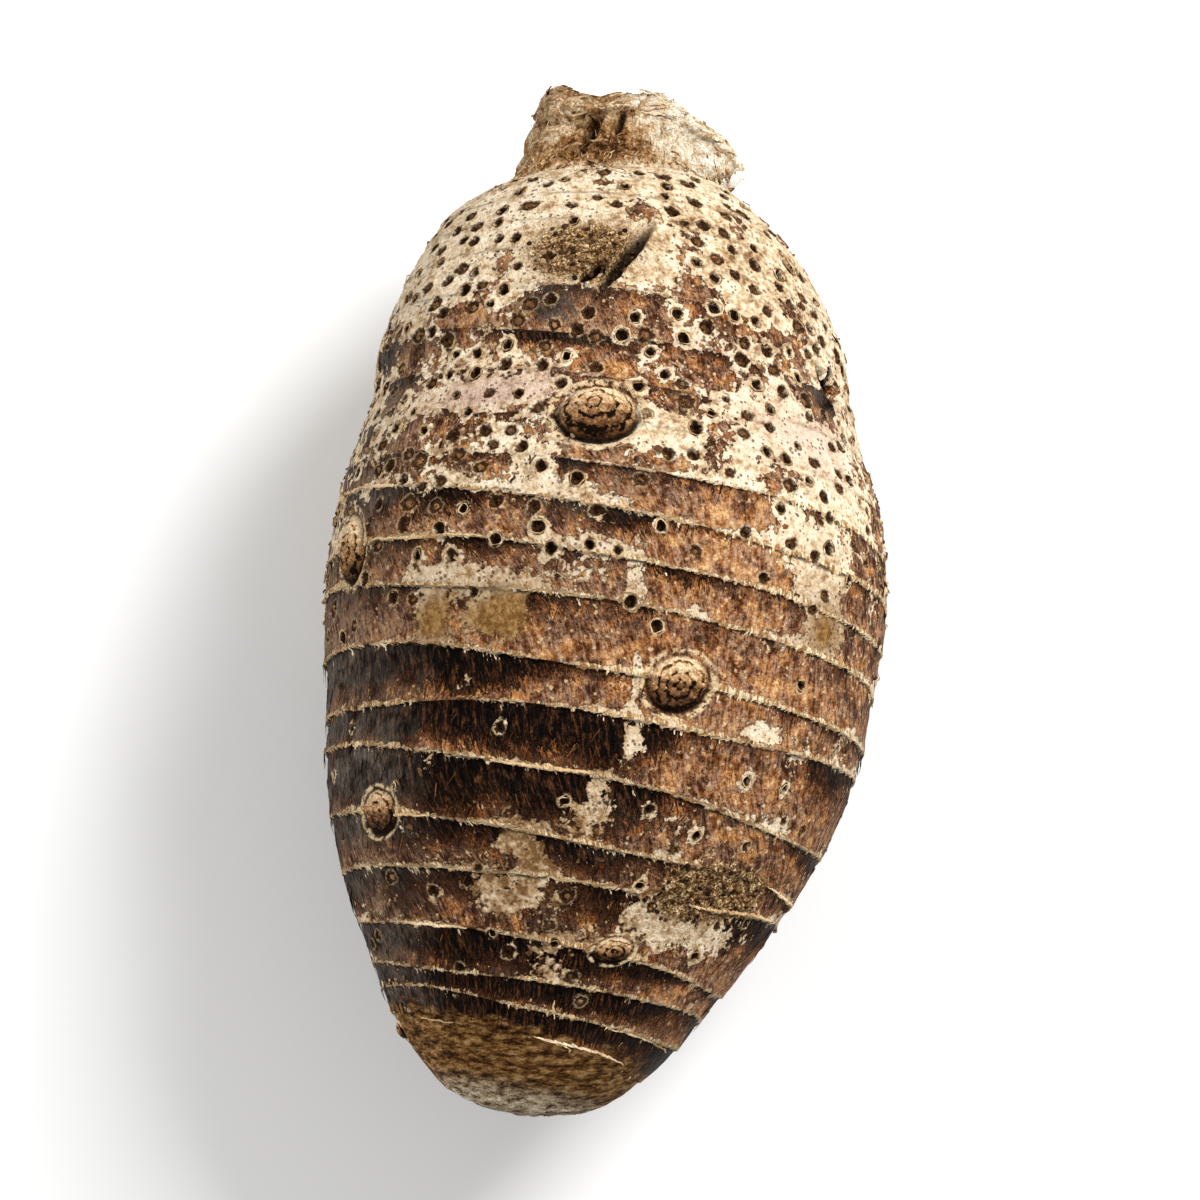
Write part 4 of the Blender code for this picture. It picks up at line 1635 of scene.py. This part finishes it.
@dataclass(frozen=True)
class StrewnShapes:
    """A piece made of one small closed shape, repeated by Geometry Nodes."""

    name: str
    shape: Shape
    finish: CorkFinish
    thickness: float = 0.2
    bend: float = 0.2
    uneven: float = 0.15
    uneven_scale: float = 1.1
    taper: float = 0.85
    segments: int = 4
    sides: int = 4
    sharp_angle: float = 50.0

    def _shape(self, make: NodeMaker, thickness: Wire, bend: Wire) -> Wire:
        """The shape at unit size, with its length along X and its height along Z.

        Args:
            make: adds the nodes.
            thickness: radius of a collar's or blade's profile.
            bend: how far a blade's middle stands up.

        Returns:
            The shape's mesh.
        """
        if self.shape is Shape.CONE:
            cone = {"Vertices": 7, "Radius Top": 0.45, "Radius Bottom": 1.0, "Depth": 1.0}
            return make.wire("GeometryNodeMeshCone", cone, "Mesh")
        if self.shape is Shape.LUMP:
            ball = {"Radius": 1.0, "Subdivisions": self.segments}
            return make.wire("GeometryNodeMeshIcoSphere", ball, "Mesh")
        sides = {"Resolution": self.sides, "Radius": thickness}
        profile = make.wire("GeometryNodeCurvePrimitiveCircle", sides)
        if self.shape is Shape.COLLAR:
            path = make.wire("GeometryNodeCurvePrimitiveCircle", {"Resolution": 11, "Radius": 1.0})
            return make.wire("GeometryNodeCurveToMesh", {"Curve": path, "Profile Curve": profile})
        middle = make.wire("ShaderNodeCombineXYZ", {0: 0.5, 2: bend})
        ends = {"Start": (0.0, 0.0, 0.0), "Middle": middle, "End": (1.0, 0.0, 0.0)}
        path = make.wire("GeometryNodeCurveQuadraticBezier", {"Resolution": self.segments, **ends})
        width = 1.0 - make.wire("GeometryNodeSplineParameter", output="Factor") * self.taper
        blade = {"Curve": path, "Profile Curve": profile, "Scale": width, "Fill Caps": True}
        return make.wire("GeometryNodeCurveToMesh", blade)

    def _tree(self) -> NodeTree:
        """The tree that stands the shape on each point, makes it uneven and dresses it.

        Returns:
            The tree.
        """
        tree = bpy.data.node_groups.new(self.name, "GeometryNodeTree")
        tree.interface.new_socket("Geometry", in_out="INPUT", socket_type="NodeSocketGeometry")
        for label in ("Thickness", "Bend", "Uneven", "Uneven Scale"):
            tree.interface.new_socket(label, in_out="INPUT", socket_type="NodeSocketFloat")
        tree.interface.new_socket("Geometry", in_out="OUTPUT", socket_type="NodeSocketGeometry")
        make = NodeMaker(tree)
        given = make.wires(make.add("NodeGroupInput"))
        facing, heading, size = (
            make.wire("GeometryNodeInputNamedAttribute", {"Name": name}, data_type="FLOAT_VECTOR")
            for name in ("facing", "heading", "size")
        )
        align = "FunctionNodeAlignRotationToVector"
        turn = make.wire(align, {"Vector": facing}, axis="Z", pivot_axis="AUTO")
        turn = make.wire(align, {"Rotation": turn, "Vector": heading}, axis="X", pivot_axis="Z")
        shape = self._shape(make, given["Thickness"], given["Bend"])
        stand = {"Points": given["Geometry"], "Instance": shape, "Rotation": turn, "Scale": size}
        placed = make.wire("GeometryNodeInstanceOnPoints", stand)
        real = make.wire("GeometryNodeRealizeInstances", {0: placed})
        position = make.wire("GeometryNodeInputPosition")
        cloud = {"Vector": position, "Scale": given["Uneven Scale"], "Detail": 1.0}
        noise = make.wire("ShaderNodeTexNoise", cloud, "Color")
        centred = make.wire("ShaderNodeVectorMath", {0: noise, 1: (0.5, 0.5, 0.5)}, operation="SUBTRACT")
        push = make.wire("ShaderNodeVectorMath", {0: centred, "Scale": given["Uneven"]}, operation="SCALE")
        moved = make.wire("GeometryNodeSetPosition", {"Geometry": real, "Offset": push})
        finish = {"Geometry": moved, "Material": self.finish.build()}
        make.add("NodeGroupOutput", {"Geometry": make.wire("GeometryNodeSetMaterial", finish)})
        return tree

    def build(self, spots: Spots) -> Object:
        """Builds the piece as a plain, closed mesh inside the solid's box.

        Args:
            spots: where its shapes stand.

        Returns:
            The piece.
        """
        mesh = bpy.data.meshes.new(self.name)
        mesh.from_pydata((spots.points * MM).tolist(), [], [])
        set_attribute(mesh, "facing", spots.facing)
        set_attribute(mesh, "heading", spots.heading)
        set_attribute(mesh, "size", spots.size * MM)
        set_attribute(mesh, "shade", spots.shade)
        carrier = link(self.name + "_spots", mesh)
        modifier = carrier.modifiers.new("grow", "NODES")
        modifier.node_group = self._tree()
        inputs = [s for s in modifier.node_group.interface.items_tree if s.socket_type == "NodeSocketFloat"]
        values = (self.thickness, self.bend, 2.0 * self.uneven * MM, self.uneven_scale / MM)
        for socket, value in zip(inputs, values):
            modifier[socket.identifier] = value
        mesh = evaluated(carrier)
        points = np.empty(len(mesh.vertices) * 3, np.float32)
        mesh.vertices.foreach_get("co", points)
        inside = np.clip(points.reshape(-1, 3), np.array(BOX_LOW) * MM, np.array(BOX_HIGH) * MM)
        mesh.vertices.foreach_set("co", inside.astype(np.float32).ravel())
        mesh.shade_smooth()
        mesh.set_sharp_from_angle(angle=math.radians(self.sharp_angle))
        return link(self.name, mesh)


def drawn(rng: np.random.Generator, count: int, *spans: tuple[float, float] | float) -> Array:
    """Random sizes, one row for each shape.

    Args:
        rng: the generator.
        count: number of rows.
        spans: for each column the least and the greatest size, or one size for all.

    Returns:
        The rows.
    """
    columns = [np.full(count, s) if isinstance(s, float) else rng.uniform(*s, count) for s in spans]
    return np.stack(columns, axis=-1)


@dataclass(frozen=True)
class CormDetails:
    """Everything that stands on the skin: collars, stubs, fibres, flakes, shreds and crumbs."""

    form: CormForm
    scars: RootScars
    effects: Effects
    seed: int = 500
    hollow_rims: Rows = (
        (180.5, 62.0, 0.5, 4.6, 3.0),
        (174.0, 68.0, 0.1, 3.6, 2.2),
        (188.0, -72.0, -0.3, 3.4, 2.0),
        (206.5, 141.0, 1.2, 3.8, 2.2),
        (193.0, 1.0, 0.9, 2.4, 1.6),
    )
    chalk: Rows = (
        (242.0, 83.0, 2.2), (239.5, 80.0, 1.8), (244.5, 86.0, 1.5),
    )
    base_strips: Rows = (
        (38.9, -53.0, 36.8, -34.0),
        (33.2, 0.4, 27.1, 41.0),
        (35.3, 26.0, 31.0, 69.0),
        (42.0, 2.0, 38.0, 2.6),
    )
    strip_count: int = 22

    def _skin(self, along: Array, around: Array) -> SkinFields:
        """The skin at some places."""
        return SkinFields(self.form, self.scars, along, around)

    def _finish(self, name: str, *colours: tuple[int, int, int], roughness: float = 0.85,
                grain: float = 0.4) -> CorkFinish:
        """A finish in display colours, dark to light."""
        return CorkFinish(name, self.effects, tones(*colours), roughness, grain)

    def _candidates(self, number: int, tries: int, low: float,
                    high: float) -> tuple[SkinFields, np.random.Generator]:
        """The skin at random places spread evenly over a length of it.

        Args:
            number: picks the draw.
            tries: number of places tried; fewer are kept where the corm is thin.
            low: where the length starts.
            high: where it ends.

        Returns:
            The skin there, and the generator for further draws.
        """
        rng = np.random.default_rng(self.seed + number)
        along = rng.uniform(low, high, tries)
        around = rng.uniform(-math.pi, math.pi, tries)
        kept = rng.uniform(size=tries) < self.form.half_width(along) / WIDEST
        return self._skin(along[kept], around[kept]), rng

    def _scar_spots(self, chosen: Array, share: float, height: tuple[float, float], lift: float) -> Spots:
        """Spots in or round the chosen root scars.

        Args:
            chosen: which of the scars.
            share: width of the shapes as a share of the scar's.
            height: their least and greatest height.
            lift: how far above the skin they stand.

        Returns:
            The spots.
        """
        places = self.scars.places[chosen]
        count = len(places)
        fields = self._skin(places[:, 0], places[:, 1])
        rng = np.random.default_rng(self.seed + count)
        wide = places[:, 2] * share * rng.uniform(0.85, 1.1, count)
        size = np.stack([wide, wide * rng.uniform(0.8, 1.15, count), rng.uniform(*height, count)], axis=-1)
        turn = rng.uniform(-math.pi, math.pi, count)
        shade = 0.5 + 0.45 * np.clip(fields.cover, -1.0, 1.0) + rng.uniform(-0.25, 0.25, count)
        return Spots.on(fields, np.ones(count, bool), turn, size, np.clip(shade, 0.0, 1.0), lift, 0.12)

    def collars(self) -> Object:
        """Corky collars round the deeper root scars, level with the skin outside them.

        Returns:
            The piece.
        """
        places = self.scars.places
        chosen = (places[:, 3] > 0.66) & (places[:, 0] < self.form.neck_start)
        spots = self._scar_spots(chosen, 1.1, (0.9, 1.5), 0.0)
        fields = self._skin(places[chosen, 0], places[chosen, 1])
        outward = self.form.directions(fields.along, fields.around)[0]
        spots = replace(spots, points=fields.points + outward * (fields.ground + 0.02)[:, None])
        finish = self._finish("scar_collar", (104, 74, 44), (160, 126, 86), (206, 178, 138))
        return StrewnShapes("scar_collars", Shape.COLLAR, finish, thickness=0.1, uneven=0.75,
                            uneven_scale=0.7).build(spots)

    def stubs(self) -> Object:
        """Stubs of broken roots in the shallow scars.

        Returns:
            The piece.
        """
        places = self.scars.places
        chosen = (places[:, 3] < 0.42) & (places[:, 0] < self.form.neck_start)
        spots = self._scar_spots(chosen, 0.5, (0.25, 0.5), -0.3)
        finish = self._finish("root_stub", (58, 38, 24), (100, 70, 44), (146, 110, 74))
        return StrewnShapes("root_stubs", Shape.CONE, finish, uneven=0.7, uneven_scale=0.9).build(spots)

    def ring_fringe(self) -> Object:
        """Short pale fibres that hang from the rings of the base half.

        Returns:
            The piece.
        """
        rng = np.random.default_rng(self.seed + 3)
        count = 260
        number = rng.integers(1, 13, count)
        around = rng.uniform(-math.pi, math.pi, count)
        line = np.take_along_axis(self.form.ring_lines(around), number[None], axis=0)[0]
        fields = self._skin(line - rng.uniform(-0.5, 0.15, count), around)
        chosen = (rng.uniform(size=count) < 0.55 + 0.5 * fields.noise(9.0, 101, 2)) & (fields.bud > 1.1)
        kept = int(chosen.sum())
        length = rng.uniform(0.5, 1.1, kept) * rng.uniform(0.6, 1.2, kept)
        size = np.column_stack([length, drawn(rng, kept, (0.5, 1.3), 0.6)])
        turn = math.pi + rng.normal(0.35, 0.4, kept)
        spots = Spots.on(fields, chosen, turn, size, rng.uniform(0.1, 1.0, kept), 0.05, 0.1)
        finish = self._finish("ring_fibre", (128, 94, 58), (192, 160, 116), (226, 204, 166))
        return StrewnShapes("ring_fringe", Shape.BLADE, finish, thickness=0.24, bend=0.25, uneven=0.2,
                            uneven_scale=0.8).build(spots)

    def dark_fibres(self) -> Object:
        """Thin dark and rusty fibres over the dark bands.

        Returns:
            The piece.
        """
        fields, rng = self._candidates(4, 9000, 38.0, 150.0)
        hanging = fields.reach - (1.0 - (fields.ring - fields.band))
        chosen = (hanging > -0.12) & (fields.cover > 0.1) & (fields.scar > 0.5) & (fields.bud > 1.2)
        chosen &= rng.uniform(size=len(chosen)) < 0.5
        kept = int(chosen.sum())
        size = drawn(rng, kept, (2.0, 5.0), (0.25, 0.5), (0.3, 0.6))
        turn = math.pi + rng.normal(0.3, 0.16, kept)
        spots = Spots.on(fields, chosen, turn, size, rng.uniform(0.0, 1.0, kept) ** 2.0, -0.02, 0.02)
        finish = self._finish("dark_fibre", (8, 5, 3), (26, 15, 9), (72, 43, 22), (150, 98, 54),
                              roughness=0.6)
        return StrewnShapes("dark_fibres", Shape.BLADE, finish, thickness=0.26, bend=0.22, uneven=0.4,
                            uneven_scale=0.45).build(spots)

    def flakes(self) -> Object:
        """Curled flakes of brown skin along the torn edges.

        Returns:
            The piece.
        """
        fields, rng = self._candidates(5, 9000, 34.0, 222.0)
        chosen = (np.abs(fields.cover - 0.05) < 0.3) & (fields.scar > 0.3) & (fields.bud > 1.2)
        chosen &= (fields.pit < 0.1) & (rng.uniform(size=len(chosen)) < 0.3)
        kept = int(chosen.sum())
        size = drawn(rng, kept, (0.5, 1.4), (0.3, 0.7), (0.1, 0.2))
        turn = rng.uniform(-math.pi, math.pi, kept)
        spots = Spots.on(fields, chosen, turn, size, rng.uniform(0.0, 1.0, kept), 0.1, 0.12)
        finish = self._finish("skin_flake", (52, 34, 22), (92, 64, 42), (132, 98, 66), (196, 166, 126),
                              roughness=0.75)
        return StrewnShapes("skin_flakes", Shape.LUMP, finish, uneven=0.9, segments=2).build(spots)

    def neck_bristles(self) -> Object:
        """Short golden bristles at the foot of the neck and in its cavities.

        Returns:
            The piece.
        """
        fields, rng = self._candidates(6, 12000, 228.0, 250.0)
        wanted = 0.9 * hump(fields.along, 236.5, 2.6) + 0.7 * (fields.pit > 0.05) * (fields.pit < 0.5) + 0.03
        chosen = rng.uniform(size=len(fields.along)) < wanted
        kept = int(chosen.sum())
        size = drawn(rng, kept, (0.9, 2.4), 0.42, (0.5, 1.0))
        turn = rng.normal(0.0, 0.5, kept)
        spots = Spots.on(fields, chosen, turn, size, rng.uniform(0.0, 1.0, kept), -0.1, 0.05)
        finish = self._finish("neck_bristle", (66, 42, 22), (132, 94, 54), (188, 150, 100), (222, 196, 154))
        return StrewnShapes("neck_bristles", Shape.BLADE, finish, thickness=0.24, bend=0.3, uneven=0.5,
                            uneven_scale=0.5).build(spots)

    def neck_folds(self) -> Object:
        """Thin wrinkles of old leaf bases, pressed flat round the neck.

        Returns:
            The piece.
        """
        fields, rng = self._candidates(7, 1000, 235.0, 256.0)
        chosen = (fields.stub_relief < 0.4) & (fields.pit < 0.05)
        kept = int(chosen.sum())
        size = drawn(rng, kept, (1.4, 3.4), (0.3, 0.8), (0.2, 0.4))
        turn = np.where(rng.uniform(size=kept) < 0.5, 0.5, -0.5) * math.pi + rng.normal(0.0, 0.35, kept)
        pallor = fields.attributes()["pallor"][chosen]
        shade = np.clip(0.5 + 0.35 * pallor + rng.uniform(-0.25, 0.25, kept), 0.0, 1.0)
        spots = Spots.on(fields, chosen, turn, size, shade, -0.18)
        finish = self._finish("neck_fold", (66, 43, 26), (132, 98, 62), (190, 160, 122), (228, 212, 184))
        return StrewnShapes("neck_folds", Shape.BLADE, finish, thickness=0.8, bend=0.7, uneven=0.9,
                            uneven_scale=0.6, taper=0.6, segments=6, sides=6).build(spots)

    def chalk_chips(self) -> Object:
        """A chalky white patch of dried sap on the neck's +X side.

        Returns:
            The piece.
        """
        along, around, wide = np.array(self.chalk).T
        size = np.stack([1.4 * wide, wide, 0.26 * wide], axis=-1)
        shade = np.linspace(0.0, 1.0, len(wide))
        spots = Spots.on(self._skin(along, np.radians(around)), wide > 0.0, 0.4 * wide, size, shade, 0.1)
        finish = self._finish("chalk", (236, 234, 226), (250, 249, 244), roughness=0.95, grain=0.1)
        return StrewnShapes("chalk_chips", Shape.LUMP, finish, uneven=0.4, uneven_scale=0.5,
                            segments=3).build(spots)

    def hollow_flaps(self) -> Object:
        """Curled pale rims left beside the holes of lost side corms.

        Returns:
            The piece.
        """
        along, around, turn, length, width = np.array(self.hollow_rims).T
        size = np.stack([0.5 * length, 0.45 * width, 0.15 * width], axis=-1)
        shade = np.linspace(0.7, 0.0, len(width))
        spots = Spots.on(self._skin(along, np.radians(around)), width > 0.0, turn, size, shade, 0.3, 0.3)
        finish = self._finish("hollow_flap", (176, 146, 106), (214, 192, 156), (238, 224, 198))
        return StrewnShapes("hollow_flaps", Shape.LUMP, finish, uneven=1.5, uneven_scale=0.4,
                            segments=3).build(spots)

    def _strip_paths(self, rng: np.random.Generator) -> list[tuple[Array, Array]]:
        """Paths of the corky cords: the strips of the base, then random stretches of the rings.

        Args:
            rng: the generator.

        Returns:
            Along and around of each path.
        """
        steps = np.linspace(0.0, 1.0, 12)
        paths = []
        for low, left, high, right in self.base_strips:
            paths.append((low + (high - low) * steps, np.radians(left + (right - left) * steps)))
        for _ in range(self.strip_count):
            number, middle, half = rng.integers(1, 14), rng.uniform(-math.pi, math.pi), rng.uniform(0.06, 0.3)
            around = middle + np.arange(-half, half, 0.028)
            wave = 0.25 + 0.3 * np.sin(9.0 * around + number)
            paths.append((self.form.ring_lines(around)[number] + wave, around))
        return paths

    def ring_strips(self) -> Object:
        """Corky cords that stand up from stretches of the rings, and lifted strips at the base.

        Returns:
            The piece.
        """
        rng = np.random.default_rng(self.seed + 9)
        rows = []
        for along, around in self._strip_paths(rng):
            sideways = np.diff(around) * self.form.half_width(along)[1:]
            ahead = np.hypot(np.diff(along), sideways)
            turn = np.arctan2(sideways, np.diff(along))
            swell = np.sin(math.pi * np.linspace(0.08, 0.92, len(ahead))) ** 0.5 * rng.uniform(0.4, 0.95)
            rows.append(np.stack([along[:-1], around[:-1], turn, 1.35 * ahead, swell, 0.8 * swell], axis=-1))
        row = np.concatenate(rows)
        fields = self._skin(row[:, 0], row[:, 1])
        shade = np.clip(0.5 + 0.5 * fields.noise(7.0, 105, 2), 0.0, 1.0)
        chosen = fields.bud > 1.1
        spots = Spots.on(fields, chosen, row[chosen, 2], row[chosen, 3:], shade[chosen], 0.1)
        finish = self._finish("ring_strip", (166, 130, 86), (210, 180, 136), (236, 216, 180))
        return StrewnShapes("ring_strips", Shape.BLADE, finish, thickness=0.48, bend=0.1, uneven=0.5,
                            uneven_scale=0.6, taper=0.1, segments=3, sides=5).build(spots)

    def crumbs(self) -> Object:
        """Crumbs of soil and rotten skin in hollows, creases and eroded areas.

        Returns:
            The piece.
        """
        fields, rng = self._candidates(8, 14000, 30.0, 262.0)
        crease = (fields.neck > 0.5) & (fields.stub_relief < -2.6)
        chosen = (fields.rough > 0.35) | (fields.pit > 0.5) | crease
        kept = int(chosen.sum())
        wide = rng.uniform(0.25, 0.75, kept)
        size = wide[:, None] * np.column_stack([np.ones(kept), drawn(rng, kept, (0.7, 1.2), (0.6, 1.0))])
        turn = rng.uniform(-math.pi, math.pi, kept)
        spots = Spots.on(fields, chosen, turn, size, rng.uniform(0.0, 1.0, kept) ** 1.5)
        finish = self._finish("soil_crumb", (30, 20, 13), (72, 50, 32), (130, 98, 62), (206, 178, 136))
        return StrewnShapes("soil_crumbs", Shape.LUMP, finish, uneven=0.25, uneven_scale=1.2,
                            segments=1).build(spots)

    def build(self) -> list[Object]:
        """Builds every piece.

        Returns:
            The pieces.
        """
        makers = (
            self.collars, self.stubs, self.ring_fringe, self.ring_strips, self.dark_fibres, self.flakes,
            self.neck_bristles, self.neck_folds, self.chalk_chips, self.hollow_flaps, self.crumbs,
        )
        return [maker() for maker in makers]


@dataclass(frozen=True)
class Studio:
    """Plain pale floor, soft lights and the camera of the photograph."""

    form: CormForm
    camera_elevation: float = 78.0
    camera_distance: float = 610.0
    target: tuple[float, float] = (-1.3, -2.3)
    lens: float = 85.0
    sensor: float = 36.0
    floor_half: float = 1400.0
    floor_drop: float = 0.15
    floor_colour: Colour = paint(240, 240, 239)
    sky: float = 0.46
    lights: tuple[tuple[str, tuple[float, float, float], float, float], ...] = (
        ("key", (420.0, 330.0, 620.0), 300.0, 7.6),
        ("fill", (-560.0, -160.0, 420.0), 500.0, 2.2),
    )

    def build_floor(self) -> None:
        """A plain sheet just under the corm."""
        half, low = self.floor_half * MM, -self.floor_drop * MM
        corners = [(-half, -half, low), (half, -half, low), (half, half, low), (-half, half, low)]
        mesh = bpy.data.meshes.new("floor")
        mesh.from_pydata(corners, [], [(0, 1, 2, 3)])
        material, _, shader = new_material("floor")
        shader.inputs["Base Color"].default_value = self.floor_colour
        shader.inputs["Roughness"].default_value = 0.9
        mesh.materials.append(material)
        link("floor", mesh)

    def build_lights(self) -> None:
        """A large key light from the upper right, a weak fill from the left and a pale sky."""
        world = bpy.data.worlds.new("studio")
        bpy.context.scene.world = world
        world.use_nodes = True
        colour, strength = world.node_tree.nodes["Background"].inputs[:2]
        colour.default_value = (1.0, 1.0, 1.0, 1.0)
        strength.default_value = self.sky
        for name, place, size, power in self.lights:
            lamp = bpy.data.lights.new(name, "AREA")
            lamp.size, lamp.energy = size * MM, power
            made = bpy.data.objects.new(name, lamp)
            made.location = Vector(place) * MM
            aim = Vector((0.0, 0.0, self.form.axis_height * MM)) - made.location
            made.rotation_euler = aim.to_track_quat("-Z", "Y").to_euler()
            bpy.context.scene.collection.objects.link(made)

    def build_camera(self) -> None:
        """The photograph's viewpoint."""
        lens = bpy.data.cameras.new("camera")
        lens.lens, lens.sensor_width = self.lens, self.sensor
        lens.clip_start, lens.clip_end = 0.01, 20.0
        camera = bpy.data.objects.new("camera", lens)
        tilt = math.radians(self.camera_elevation)
        back = Vector((0.0, -math.cos(tilt), math.sin(tilt)))
        target = Vector((*self.target, self.form.axis_height))
        camera.location = (target + back * self.camera_distance) * MM
        camera.rotation_euler = (-back).to_track_quat("-Z", "Y").to_euler()
        bpy.context.scene.collection.objects.link(camera)
        bpy.context.scene.camera = camera


def main() -> None:
    """Builds and dresses the corm."""
    logging.basicConfig(level=logging.INFO, format="%(name)s: %(message)s")
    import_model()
    form = CormForm()
    scars = RootScars(form)
    effects = Effects()
    studio = Studio(form)
    studio.build_camera()
    studio.build_floor()
    studio.build_lights()
    skin = CormSkin(form, scars, CormSkinFinish(effects)).build()
    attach(skin, "root")
    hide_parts("corm")
    LOG.info("corm_skin: %d triangles", len(skin.data.polygons))
    for piece in CormDetails(form, scars, effects).build():
        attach(piece, "root")
        LOG.info("%s: %d faces", piece.name, len(piece.data.polygons))
    bpy.context.scene.view_settings.view_transform = "Standard"


if __name__ == "__main__":
    main()
